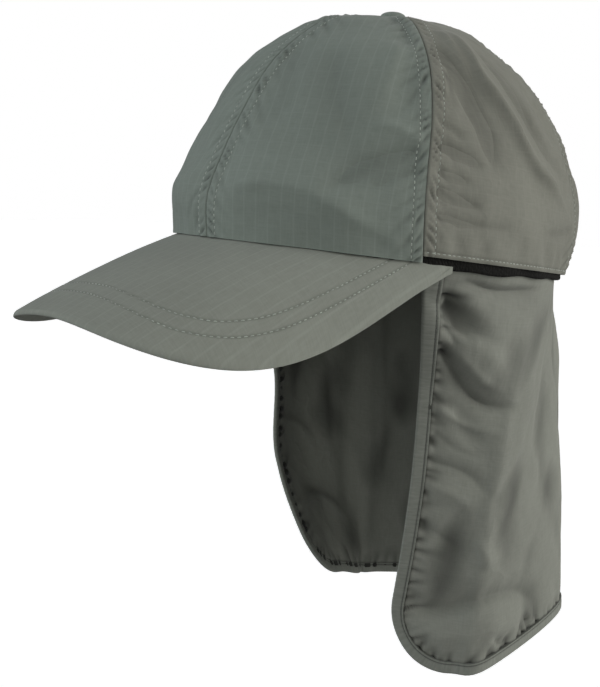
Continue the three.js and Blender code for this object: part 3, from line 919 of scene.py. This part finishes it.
def edge_distance(plan):
    """Distance of plan points from the peak's edge."""
    turn = np.linspace(-math.pi / 2, math.pi / 2, 700)
    edge = peak_edge(np.sin(turn))
    flat = plan.reshape(-1, 1, 2)
    start, step = edge[:-1], np.diff(edge, axis=0)
    size = np.sum(step**2, -1)
    share = np.clip(np.sum((flat - start) * step, -1) / size, 0, 1)
    gap = np.linalg.norm(flat - start - share[..., None] * step, axis=-1)
    return gap.min(1).reshape(plan.shape[:-1])


def row_bells(inset, plan, width):
    """Sum of the bells of plan points' distances from the two rows."""
    gaps = [inset - row_inset(row, plan[..., 0]) for row in ("outer", "inner")]
    return sum(gauss(gap / width) for gap in gaps)


def peak_relief(inset, plan, settings):
    """Channels under the two rows of stitches, and a slight swell."""
    channels = row_bells(inset, plan, 0.6 * MM)
    cloth = swell(plan[..., 0], plan[..., 1], 40 * MM, 50 * MM, 7)
    swelling = 0.12 * MM * cloth * smooth_step(inset, 0, 10 * MM)
    return swelling - settings.channel * channels


def row_line(row):
    """Plan of a row of stitches: the edge moved in along its normal by the
    inset at the place it comes to."""
    turn = np.linspace(-math.pi / 2, math.pi / 2, 900)
    edge = peak_edge(np.sin(turn))
    heading = unit(np.gradient(edge, axis=0))
    inwards = np.stack([-heading[:, 1], heading[:, 0]], -1)
    line = edge
    for _ in range(4):
        line = edge + row_inset(row, line[:, 0])[:, None] * inwards
    limit = 0.97 * peak_end()[0]
    return line[line[:, 1] < rim_front(np.clip(line[:, 0], -limit, limit)) - 1 * MM]


class CAP_OT_peak(Operator):
    """Sew the peak with its two rows of stitches."""

    bl_idname = "cap.peak"
    bl_label = "Peak"

    def execute(self, context):
        scene = context.scene
        settings = scene.cap_peak
        spread = np.linspace(-1, 1, 191)
        side = np.sign(spread) * (1 - (1 - np.abs(spread)) ** 1.8)
        forward = 1 - np.linspace(0, 1, 84) ** 1.35
        edge = peak_edge(side)[:, None]
        start = np.stack([edge[..., 0], rim_front(edge[..., 0])], -1)
        plan = start + (edge - start) * forward[:, None]
        inset = edge_distance(plan)
        radius = PEAK_THICKNESS / 2
        round_in = radius - np.clip(inset, 0.03 * MM, radius)
        drop = radius - np.sqrt(radius**2 - round_in**2)
        height = peak_height(plan)
        relief = peak_relief(inset, plan, settings)
        upper = np.concatenate([plan, (height - drop + relief)[..., None]], -1)
        lower = height - PEAK_THICKNESS + drop
        lower = np.concatenate([plan, lower[..., None]], -1)
        points, faces = shell(upper, lower)
        # Painted shade in the channels under the two rows of stitches, carried by the mark
        # 'seam'.
        shade = 0.4 * row_bells(inset, plan, 0.35 * MM)
        marks = {"seam": np.concatenate([shade.ravel(), 0 * shade.ravel()])}
        # The peak's colour is the cloth's, set lighter than the crown's for the light on the
        # peak: painted light.
        finish = ripstop("peak_cloth", scene.cap_colors.peak, RIPSTOP_PITCH, 0.11, 0.02, 0.4)
        uv = twice(plan)
        add_piece("peak_cloth", points, faces, finish, ["peak"], uv, marks)
        places = []
        for row in ("outer", "inner"):
            line = row_line(row)
            steps = np.array([[0.5 * MM, 0], [0, 0.5 * MM]])
            over = [peak_height(line + step) - peak_height(line - step) for step in steps]
            normal = unit(np.stack([-over[0], -over[1], np.full(len(line), MM)], -1))
            lift = peak_height(line) - settings.channel
            path = np.concatenate([line, lift[:, None]], -1)
            places.append(stitch_places(path, normal, scene.cap_thread.pitch))
        sew("peak", places, scene.cap_colors.thread)
        return {"FINISHED"}


# Sweatband


def band_inset(height):
    """How far the sweatband's outer face lies inside the rim at a height."""
    return CLOTH + SEAM_GAP + BAND_LEAN * np.maximum(0, height / BAND_RISE)


class CAP_OT_band(Operator):
    """Knit the sweatband inside the rim."""

    bl_idname = "cap.band"
    bl_label = "Sweatband"

    def execute(self, context):
        angle = np.linspace(0, 360, 541)[:-1, None]
        # Going down the outer face, round the lower edge and up the inner face.
        down = np.linspace(1, 0, 18)
        bend = np.linspace(0, math.pi, 9)[1:-1]
        depth = np.concatenate([0 * down, (1 - np.cos(bend)) / 2, 0 * down + 1])
        rise = np.concatenate([down, -0.045 * np.sin(bend), down[::-1]])
        height = -BAND_DROP * 0.6 + (BAND_RISE + BAND_DROP * 0.6) * rise
        way = angle / 360 * TURN * HALF_LENGTH
        low = smooth_step(-rise, -0.25, 0.05)
        turned = smooth_step(180 - np.abs(180 - angle), 78, 112)
        height = height + (0.3 * ripple(way, 43 * MM, 31) + 1.7 * turned) * MM * low
        swollen = 0.45 * MM * ripple(way, 31 * MM, 32) * low * (depth < 0.5)
        inset = band_inset(height) + BAND_THICKNESS * depth - swollen
        sections = rim_point(angle + 0 * rise, inset, height)
        points, faces = tube(sections, True)
        around = np.broadcast_to(way, height.shape)
        uv = np.stack([around, height + depth * BAND_THICKNESS], -1)
        finish = knit("band_knit", context.scene.cap_colors.band)
        add_piece("sweatband_knit", points, faces, finish, ["sweatband"], uv)
        return {"FINISHED"}


# Neck flap


def flap_column(column, share):
    """Column of FLAP_LINES at a share of the way from the left front edge."""
    values = FLAP_LINES[column]
    before = 2 * values[0] - values[1]
    after = 2 * values[-1] - values[-2]
    return smooth_value((before, *values, after), np.clip(share, 0, 1) * (len(values) - 1))


def flap_point(share, height):
    """Point of the middle of the flap's cloth at a height above the rim, or
    below it where the cloth hangs: a curve from the sweatband through the three
    points of the line, moved in by the folds."""
    share, height = np.broadcast_arrays(share, height)
    angle = flap_column("angle", share)
    inset = BAND_THICKNESS + SEAM_GAP + BINDING_THICKNESS / 2
    top = rim_point(angle, band_inset(height) + inset, 0)
    depth = np.maximum(0, -height / FLAP_LENGTH)
    place = np.interp(depth, FLAP_DEPTHS, range(4)) + np.maximum(0, depth - 1) / 0.4
    level = []
    for start, size, name in ((top[..., 0], HALF_WIDTH, "x"), (top[..., 1], HALF_LENGTH, "y")):
        through = [start] + [size * flap_column(f"{name}{k}", share) for k in (1, 2, 3)]
        knots = (through[1], *through, 2 * through[3] - through[2])
        level.append(smooth_value(knots, place))
    fold = dent_share(FLAP_FOLDS, angle, depth) * 2 * HALF_WIDTH
    hung = top[..., 2] + (-FLAP_LENGTH - top[..., 2]) * depth
    z = np.where(height > 0, top[..., 2] + height, hung)
    return np.stack([*level, z], -1) - fold[..., None] * outwards(angle)


def flap_place(distance, rise):
    """Point of the flap at a length along its cloth from the left front edge
    and a height above its lower edge, both in millimetres."""
    share = np.interp(distance * MM, *flap_width())
    return flap_point(share, rise * MM - FLAP_LENGTH * flap_column("drop", share))


def flap_width():
    """Length of the cloth round its lower part, and the share of the way at
    each of many lengths."""
    shares = np.linspace(0, 1, 801)
    way = lengths(flap_point(shares, -FLAP_WIDTH_LEVEL * FLAP_LENGTH))
    return way, shares


def flap_cut_area():
    """Flat area that the flap is cut to: its drop all along its width, less the
    two rounded corners."""
    way, shares = flap_width()
    drop = FLAP_TUCK + FLAP_LENGTH * flap_column("drop", shares)
    whole = np.sum((drop[1:] + drop[:-1]) / 2 * np.diff(way))
    return float(whole - (2 - math.pi / 2) * FLAP_CORNER**2)


def flap_stations(inset, corner_steps, step):
    """Share and lower height of places along the flap's outline, drawn in by
    inset: a quarter circle, a level run and a quarter circle back."""
    way, shares = flap_width()
    turn = np.linspace(0, math.pi / 2, corner_steps + 1)
    radius = FLAP_CORNER - inset
    corner = FLAP_CORNER - radius * np.cos(turn)
    rising = FLAP_CORNER - radius * np.sin(turn)
    straight = way[-1] - 2 * FLAP_CORNER
    middle = FLAP_CORNER + np.linspace(0, straight, round(straight / step) + 1)[1:-1]
    distance = np.concatenate([corner, middle, (way[-1] - corner)[::-1]])
    above = np.concatenate([rising, 0 * middle + inset, rising[::-1]])
    share = np.interp(distance, way, shares)
    return share, above - FLAP_LENGTH * flap_column("drop", share), distance, above


def edge_place(distance, above):
    """Distance from the flap's rounded outline, and the length along it from
    the left front edge's top."""
    total = flap_width()[0][-1]
    near = np.minimum(distance, total - distance)
    in_corner = (near < FLAP_CORNER) & (above < FLAP_CORNER)
    across, up = FLAP_CORNER - near, FLAP_CORNER - above
    gap = np.where(in_corner, FLAP_CORNER - np.hypot(across, up), np.minimum(near, above))
    turn = np.arctan2(np.maximum(up, 0), np.maximum(across, 1e-9))
    side = np.where(above > FLAP_CORNER, -(above - FLAP_CORNER), FLAP_CORNER * turn)
    quarter = FLAP_CORNER * math.pi / 2
    is_low = (near >= FLAP_CORNER) & (above < near)
    side = np.where(is_low, quarter + near - FLAP_CORNER, side)
    half = quarter + total / 2 - FLAP_CORNER
    return gap, np.where(distance > total / 2, 2 * half - side, side) + FLAP_LENGTH


def gathers(gap, along, settings):
    """Depth of the short folds that run into the flap from its binding: bells
    across each fold, at seeded places, widths and lengths, that fade with the
    distance from the binding."""
    rng = np.random.default_rng(5)
    total = along.max()
    count = round(total / settings.gather_pitch)
    places = (np.arange(count) + rng.uniform(-0.35, 0.35, count)) * total / count
    widths = rng.uniform(0.8, 1.5, count) * MM
    reaches = rng.uniform(2.5, 9, count) * MM
    depths = rng.uniform(0.35, 1.5, count) * settings.gather_depth
    slants = rng.uniform(-0.35, 0.35, count)
    sinking = np.zeros_like(gap)
    for place, width, reach, depth, slant in zip(places, widths, reaches, depths, slants):
        fan = width * (1 + 1.1 * gap / reach)
        sinking += depth * gauss((along - place - slant * gap) / fan) * gauss(gap / reach)
    return sinking


class CAP_OT_flap(Operator):
    """Hang the neck flap and bind its edge."""

    bl_idname = "cap.flap"
    bl_label = "Neck Flap"

    def execute(self, context):
        scene = context.scene
        settings = scene.cap_flap
        start = BINDING_WIDTH * FLAP_START
        share, low, distance, above = flap_stations(start, 26, FLAP_STEP)
        rows = np.linspace(0, 1, FLAP_ROWS)
        height = low[:, None] + (FLAP_TUCK - low[:, None]) * rows
        share = np.broadcast_to(share[:, None], height.shape)
        base = flap_point(share, height)
        normal = grid_normals(base)
        distance = np.broadcast_to(distance[:, None], height.shape)
        rise = above[:, None] + height - low[:, None]
        gap, along = edge_place(distance, rise)
        gap = np.maximum(gap - BINDING_WIDTH, 0)
        hanging = smooth_step(-height, 0, 25 * MM)
        free = smooth_step(gap, 0, 12 * MM) * hanging
        relief = -gathers(gap, along, settings) * smooth_step(-height, 4 * MM, 12 * MM)
        relief = relief + swell(distance, rise, 38 * MM, 80 * MM, 41) * 0.7 * MM * free
        relief = relief + swell(distance, rise, 12 * MM, 34 * MM, 42) * 0.16 * MM * free
        # Painted shade in the troughs of the gathers and of the swell.
        shade = 0.6 * np.clip(-relief / (1.2 * MM), 0, 1)
        folds = creases(base, normal, FLAP_CREASES, flap_place)
        folds = FLAP_FOLD_GAIN * folds * smooth_step(-height, 2 * MM, 9 * MM)
        folds = folds * (0.4 + 0.6 * smooth_step(gap, 0, 4 * MM))
        relief = relief + folds
        middle = base + relief[..., None] * normal
        lift = grid_normals(middle) * FLAP_CLOTH / 2
        points, faces = shell(middle + lift, middle - lift)
        # Painted shade along the binding's edge, where the cloth runs under it.
        shade = shade + 0.75 * gauss(gap / (0.5 * MM)) * (gap < 2 * MM)
        # Painted shade in the hollows of the folds.
        shade = shade + 0.3 * np.clip(-folds / (4 * MM), 0, 1)
        uv = twice(np.stack([distance, rise], -1))
        marks = {"seam": twice(shade)}
        # The flap's colour is the cloth's, set lighter than the crown's for the light on the
        # flap: painted light.
        finish = ripstop("flap_cloth", scene.cap_colors.flap, RIPSTOP_PITCH, 0.02, 0.02, 4)
        flap = add_piece(
            "neck_flap_cloth", points, faces, finish, ["neck_flap"], uv, marks
        )
        binding, sewn = self.bind(scene)
        flat = (flap_width()[0][-1], FLAP_LENGTH + FLAP_TUCK)
        flap_cut_area()
        return {"FINISHED"}

    def bind(self, scene):
        """Folded strip round the flap's edge, and its stitches on both faces.

        A section is a rounded strip from the outer edge to the inner one, and
        it is carried down the left front edge, round below and up the right.
        """
        outer_line = flap_stations(0, 30, FLAP_STEP)[:2]
        inner_line = flap_stations(BINDING_WIDTH, 30, FLAP_STEP)[:2]
        climb = np.linspace(0, 1, 110)[1:]
        inner_low = inner_line[1]
        rises = [inner_low[end] + (FLAP_TUCK - inner_low[end]) * climb for end in (0, -1)]
        lines = []
        for share, low in (outer_line, inner_line):
            share = np.concatenate([0 * climb + share[0], share, 0 * climb + share[-1]])
            low = np.concatenate([rises[0][::-1], low, rises[1]])
            lines.append(np.stack([share, low])[..., None])
        across = np.array(
            [0, 0.015, 0.05, 0.11, 0.2, 0.35, 0.5, 0.65, 0.74, 0.8, 0.86, 0.93, 0.98, 1]
        )
        share, low = lines[0] + (lines[1] - lines[0]) * across
        base = flap_point(share, low)
        step = 0.2 * MM
        right = flap_point(share + 1e-3, low) - flap_point(share - 1e-3, low)
        up = flap_point(share, low + step) - flap_point(share, low - step)
        normal = unit(np.cross(right, up))
        way = lengths(base[:, 6])
        edge = np.sqrt(1 - (1 - np.clip(across / 0.12, 0.02, 1)) ** 2)
        fold = np.sqrt(1 - (1 - np.clip((1 - across) / 0.07, 0.1, 1)) ** 2)
        half = BINDING_THICKNESS / 2
        channel = 0.26 * MM * gauss((across - BINDING_ROW) / 0.06)
        slant = TURN * (way[:, None] + across * 7 * MM) / (4.4 * MM)
        wave = np.sin(slant + 2 * ripple(way, 30 * MM, 51)[:, None])
        wave = wave * 0.07 * MM * np.sin(math.pi * np.clip(across / BINDING_ROW, 0, 1))
        thick = (half - channel + wave) * edge * (0.35 + 0.65 * fold)
        outer = base + thick[..., None] * normal
        inner = base - thick[..., None] * normal
        sections = np.concatenate([outer[:, ::-1], inner], 1)
        points, faces = tube(sections, False)
        around = np.broadcast_to(way[:, None], share.shape)
        flat = np.stack([around, np.broadcast_to(across * BINDING_WIDTH, share.shape)], -1)
        uv = np.concatenate([flat[:, ::-1], flat], 1)
        # Painted shade in the channel under the stitches and along the strip's folded inner
        # edge.
        shade = 0.7 * gauss((across - BINDING_ROW) / 0.05)
        shade = shade + 0.5 * gauss((1 - across) / 0.03)
        shade = np.broadcast_to(shade, share.shape)
        marks = {"seam": np.concatenate([shade[:, ::-1], shade], 1)}
        finish = bias_tape("binding_cloth", scene.cap_colors.binding)
        nodes = ["flap_binding"]
        strip = add_piece("flap_binding_strip", points, faces, finish, nodes, uv, marks)
        row = int(np.argmin(np.abs(across - BINDING_ROW)))
        pitch = scene.cap_thread.pitch
        places = [
            stitch_places(outer[:, row], normal[:, row], pitch),
            stitch_places(inner[:, row], -normal[:, row], pitch),
        ]
        return strip, sew("flap", places, scene.cap_colors.dark_thread)


# Finishes


class Term:
    """A shader socket in an expression. Its operators add Math nodes."""

    def __init__(self, tree, socket=None):
        self.tree = tree
        self.socket = socket

    def node(self, kind, settings, inputs, output=0):
        """One output of a new node, whose properties are set first and then the
        values or links of its sockets."""
        made = self.tree.nodes.new(kind)
        for name, value in settings.items():
            setattr(made, name, value)
        for name, value in inputs.items():
            socket = made.inputs[name]
            if isinstance(value, Term):
                self.tree.links.new(value.socket, socket)
            else:
                socket.default_value = value
        return None if output is None else Term(self.tree, made.outputs[output])

    def math(self, operation, *values):
        """Result of a Math node."""
        return self.node("ShaderNodeMath", {"operation": operation}, dict(enumerate(values)))

    def blend(self, first, second, mode="MIX"):
        """Colour between two colours, with this term as the factor."""
        settings = {"data_type": "RGBA", "blend_type": mode, "clamp_factor": True}
        return self.node("ShaderNodeMix", settings, {0: self, 6: first, 7: second}, 2)

    def noise(self, vector, scale, detail=2.0):
        """Noise between 0 and 1 with features of 1 / scale."""
        inputs = {"Vector": vector, "Scale": scale, "Detail": detail}
        return self.node("ShaderNodeTexNoise", {}, inputs)

    def __add__(self, other):
        return self.math("ADD", self, other)

    def __radd__(self, other):
        return self.math("ADD", other, self)

    def __sub__(self, other):
        return self.math("SUBTRACT", self, other)

    def __rsub__(self, other):
        return self.math("SUBTRACT", other, self)

    def __mul__(self, other):
        return self.math("MULTIPLY", self, other)

    def __rmul__(self, other):
        return self.math("MULTIPLY", other, self)

    def __truediv__(self, other):
        return self.math("DIVIDE", self, other)


def start_finish(name):
    """New material, and a term from which its nodes are made."""
    material = bpy.data.materials.new(name)
    material.use_nodes = True
    material.node_tree.nodes.clear()
    return material, Term(material.node_tree)


def end_finish(term, color, roughness, height, relief, sheen):
    """Principled shader with a colour, a roughness and a bump of that height."""
    bump = term.node("ShaderNodeBump", {}, {"Height": height, "Distance": relief})
    inputs = {
        "Base Color": color,
        "Roughness": roughness,
        "Normal": bump,
        "Sheen Weight": sheen,
        "Sheen Roughness": 0.5,
        "Specular IOR Level": 0.25,
    }
    surface = term.node("ShaderNodeBsdfPrincipled", {}, inputs)
    term.node("ShaderNodeOutputMaterial", {}, {"Surface": surface}, None)


def cloth_place(term):
    """The cloth's own coordinates, in metres."""
    return term.node("ShaderNodeUVMap", {"uv_map": "cloth"}, {})


def own_place(term):
    """The piece's own coordinates, in metres."""
    return term.node("ShaderNodeTexCoord", {}, {}, "Object")


def drawn_noise(term, place, stretch, turn=0):
    """Noise drawn out along threads that are turned by an angle in the cloth."""
    inputs = {"Vector": place, "Rotation": (0, 0, math.radians(turn)), "Scale": stretch}
    drawn = term.node("ShaderNodeMapping", {"vector_type": "POINT"}, inputs)
    return term.noise(drawn, 1.0, 2.0)


def with_painted_shade(term, shade, color):
    """Colour with painted shade where the piece's mark 'seam' is: the shade of seam hollows,
    stitch channels, creases and folds.
    """
    seam = term.node("ShaderNodeAttribute", {"attribute_name": "seam"}, {}, "Fac")
    return seam.blend(shade, tinted(color, PAINTED_SHADE_TINT))


def thread_lines(value, pitch, width):
    """1 on lines a pitch apart, and 0 beyond their width."""
    gap = value.math("PINGPONG", value, pitch / 2)
    limits = {"use_clamp": True, "operation": "MULTIPLY_ADD"}
    return value.node("ShaderNodeMath", limits, {0: gap, 1: -1 / width, 2: 1.6})


def tinted(color, gain):
    """Colour times a number, with full alpha."""
    return (*(min(1, part * gain) for part in color), 1)


def ripstop(name, color, pitch, warp_gain, weft_gain, wrinkle):
    """Matt cloth with fine threads in both directions, and with lighter, thicker
    threads a pitch apart: warp_gain and weft_gain are how light they are, and
    wrinkle is how high its fine creases are, in tenths of a millimetre."""
    material, term = start_finish(name)
    place = cloth_place(term)
    u, v = (term.node("ShaderNodeSeparateXYZ", {}, {0: place}, k) for k in (0, 1))
    warp = drawn_noise(term, place, (1500, 190, 1))
    weft = drawn_noise(term, place, (190, 1500, 1))
    grain = (warp + weft) * 0.5
    lines_u = thread_lines(u, pitch, 0.3 * MM)
    lines_v = thread_lines(v, pitch * 1.3, 0.3 * MM)
    lines = term.math("MAXIMUM", lines_u * warp_gain, lines_v * weft_gain)
    own = own_place(term)
    patches = term.noise(own, 22.0, 3.0)
    lightness = (grain - 0.5) * 1.1 + (patches - 0.5) * 0.8 + 0.5
    shade = lightness.blend(tinted(color, 0.82), tinted(color, 1.18))
    shade = lines.blend(shade, tinted(color, 1.75))
    # Painted shade where the mark 'seam' is.
    shade = with_painted_shade(term, shade, color)
    creased = term.math("ABSOLUTE", term.noise(own, 48.0, 3.0) - 0.5)
    height = grain * 0.5 + lines - creased * (4 * wrinkle)
    end_finish(term, shade, 0.86, height, 0.1 * MM, 0.12)
    return material


def bias_tape(name, color):
    """Cloth cut on the bias, so its threads run slanting along the strip."""
    material, term = start_finish(name)
    threads = drawn_noise(term, cloth_place(term), (900, 160, 1), turn=40)
    own = own_place(term)
    patches = term.noise(own, 30.0, 2.0)
    lightness = (threads - 0.5) * 1.3 + (patches - 0.5) * 0.4 + 0.5
    shade = lightness.blend(tinted(color, 0.8), tinted(color, 1.2))
    # Painted shade where the mark 'seam' is.
    shade = with_painted_shade(term, shade, color)
    end_finish(term, shade, 0.86, threads, 0.1 * MM, 0.12)
    return material


def knit(name, color):
    """Dark looped knit: small round cells on the band's own coordinates."""
    material, term = start_finish(name)
    place = cloth_place(term)
    inputs = {"Vector": place, "Scale": 900.0}
    cells = term.node("ShaderNodeTexVoronoi", {}, inputs, "Distance")
    fuzz = term.noise(place, 500.0, 3.0)
    lightness = cells * 0.6 + fuzz * 0.5
    shade = lightness.blend(tinted(color, 1.6), tinted(color, 0.5))
    end_finish(term, shade, 0.95, 1 - cells, 0.35 * MM, 0.0)
    return material


def thread_finish(name, color):
    """Sewing thread with a slight change of lightness along the seams."""
    material, term = start_finish(name)
    own = own_place(term)
    twist = term.noise(own, 2500.0, 1.0)
    patches = term.noise(own, 160.0, 2.0)
    lightness = (twist - 0.5) * 0.8 + (patches - 0.5) * 1.6 + 0.5
    shade = lightness.blend(tinted(color, 0.7), tinted(color, 1.25))
    end_finish(term, shade, 0.7, twist, 0.06 * MM, 0.1)
    return material


# Stage


# Soft distant lamps: where each stands round the cap, how high, how strong it is
# in watts for each square metre, and its colour.
LAMPS = (
    ("right_low_lamp", -45, 12, 0.73, (0.9, 0.96, 1)),
    ("right_high_lamp", -45, 45, 0.52, (0.92, 0.97, 1)),
    ("front_lamp", 0, 12, 0.55, (0.96, 0.98, 1)),
    ("top_lamp", 0, 75, 0.26, (1, 1, 1)),
    ("left_lamp", 45, 12, 0.68, (1, 0.99, 0.97)),
    ("back_left_lamp", 135, 12, 2.43, (1, 0.985, 0.955)),
)
LAMP_SPREAD = math.radians(50)
BOUNCE = 0.08  # strength of the studio's light from below


def sight(azimuth, elevation):
    """Direction towards a viewer at an azimuth and an elevation, in radians."""
    level = math.cos(elevation)
    return Vector(
        (math.sin(azimuth) * level, -math.cos(azimuth) * level, math.sin(elevation))
    )


def add_lamp(name, azimuth, elevation, strength, color):
    """Distant soft lamp that shines from an azimuth and an elevation."""
    data = bpy.data.lights.new(name, "SUN")
    data.angle = LAMP_SPREAD
    data.energy = strength
    data.color = color
    light = bpy.data.objects.new(name, data)
    back = sight(math.radians(azimuth), math.radians(elevation))
    light.rotation_mode = "QUATERNION"
    light.rotation_quaternion = (-back).to_track_quat("-Z", "Y")
    bpy.context.scene.collection.objects.link(light)


class CAP_OT_stage(Operator):
    """Lay the floor, and set up the lights and the camera."""

    bl_idname = "cap.stage"
    bl_label = "Stage"

    def execute(self, context):
        scene = context.scene
        self.lay_floor(scene)
        self.paint_studio(scene)
        for lamp in LAMPS:
            add_lamp(*lamp)
        self.place_camera(scene, scene.cap_stage)
        return {"FINISHED"}

    def paint_studio(self, scene):
        """Pale studio: white where it is seen, and light from below for the cap."""
        world = bpy.data.worlds.new("studio")
        world.use_nodes = True
        world.node_tree.nodes.clear()
        term = Term(world.node_tree)
        way = term.node("ShaderNodeTexCoord", {}, {}, "Generated")
        height = term.node("ShaderNodeSeparateXYZ", {}, {0: way}, "Z")
        is_seen = term.node("ShaderNodeLightPath", {}, {}, "Is Camera Ray")
        light = term.math("LESS_THAN", height, 0) * BOUNCE
        strength = term.math("MAXIMUM", light, is_seen)
        inputs = {"Color": (1, 1, 1, 1), "Strength": strength}
        glow = term.node("ShaderNodeBackground", {}, inputs)
        term.node("ShaderNodeOutputWorld", {}, {"Surface": glow}, None)
        scene.world = world
        scene.view_settings.view_transform = "Standard"

    def lay_floor(self, scene):
        """Plain square of floor far below the flap. It throws no light back on
        the cap, because the studio's light from below stands for that."""
        material, term = start_finish("floor_paint")
        patches = term.noise(own_place(term), 3.0, 2.0)
        pale = (*scene.cap_colors.floor, 1)
        color = patches.blend(pale, tinted(scene.cap_colors.floor, 1.02))
        inputs = {
            "Base Color": color,
            "Roughness": 0.9,
            "Emission Color": (1, 1, 1, 1),
            "Emission Strength": 0.6,
        }
        surface = term.node("ShaderNodeBsdfPrincipled", {}, inputs)
        term.node("ShaderNodeOutputMaterial", {}, {"Surface": surface}, None)
        half = FLOOR_HALF
        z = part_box("flap_binding")[0].z - scene.cap_stage.floor_gap
        mesh = bpy.data.meshes.new("floor")
        corners = [(-half, -half, z), (half, -half, z), (half, half, z), (-half, half, z)]
        mesh.from_pydata(corners, [], [(0, 1, 2, 3)])
        mesh.materials.append(material)
        floor = bpy.data.objects.new("floor", mesh)
        scene.collection.objects.link(floor)
        floor.visible_diffuse = False
        floor.visible_glossy = False
        floor.visible_shadow = False

    def place_camera(self, scene, settings):
        """Camera that looks at its target from an azimuth and an elevation."""
        turn, rise, roll = settings.azimuth, settings.elevation, settings.roll
        right = Vector((math.cos(turn), math.sin(turn), 0))
        back = sight(turn, rise)
        up = back.cross(right)
        leaning_right = math.cos(roll) * right + math.sin(roll) * up
        leaning_up = math.cos(roll) * up - math.sin(roll) * right
        data = bpy.data.cameras.new("camera")
        data.lens = settings.lens
        data.sensor_width = 36
        data.clip_start = 10 * MM
        camera = bpy.data.objects.new("camera", data)
        axes = Matrix((leaning_right, leaning_up, back)).transposed()
        place = Matrix.Translation(Vector(settings.target) + back * settings.distance)
        camera.matrix_world = place @ axes.to_4x4()
        scene.collection.objects.link(camera)
        scene.camera = camera


class CAP_PT_builder(Panel):
    """Sizes and colours of the cap, and the buttons that build it."""

    bl_idname = "CAP_PT_builder"
    bl_label = "Legionnaire Cap"
    bl_space_type = "VIEW_3D"
    bl_region_type = "UI"
    bl_category = "Cap"

    def draw(self, context):
        layout = self.layout
        for name in SETTINGS:
            box = layout.box()
            group = getattr(context.scene, name)
            for field in group.__annotations__:
                box.prop(group, field)
        for operator in OPERATORS:
            layout.operator(operator.bl_idname)


SETTINGS = {
    "cap_crown": CrownSettings,
    "cap_peak": PeakSettings,
    "cap_flap": FlapSettings,
    "cap_thread": ThreadSettings,
    "cap_colors": ColorSettings,
    "cap_stage": StageSettings,
}
OPERATORS = (
    CAP_OT_stage,
    CAP_OT_crown,
    CAP_OT_button,
    CAP_OT_peak,
    CAP_OT_band,
    CAP_OT_flap,
)


def register():
    """Register the classes, and hang each group of settings on the scene."""
    for kind in (*SETTINGS.values(), *OPERATORS, CAP_PT_builder):
        bpy.utils.register_class(kind)
    for name, kind in SETTINGS.items():
        setattr(bpy.types.Scene, name, PointerProperty(type=kind))


def unregister():
    """Undo what register does."""
    for name in SETTINGS:
        delattr(bpy.types.Scene, name)
    for kind in reversed((*SETTINGS.values(), *OPERATORS, CAP_PT_builder)):
        bpy.utils.unregister_class(kind)


def main():
    """Build the cap and its stage."""
    register()
    bpy.ops.cap.stage()
    bpy.ops.cap.crown()
    bpy.ops.cap.button()
    bpy.ops.cap.peak()
    bpy.ops.cap.band()
    bpy.ops.cap.flap()


if __name__ == "__main__":
    main()
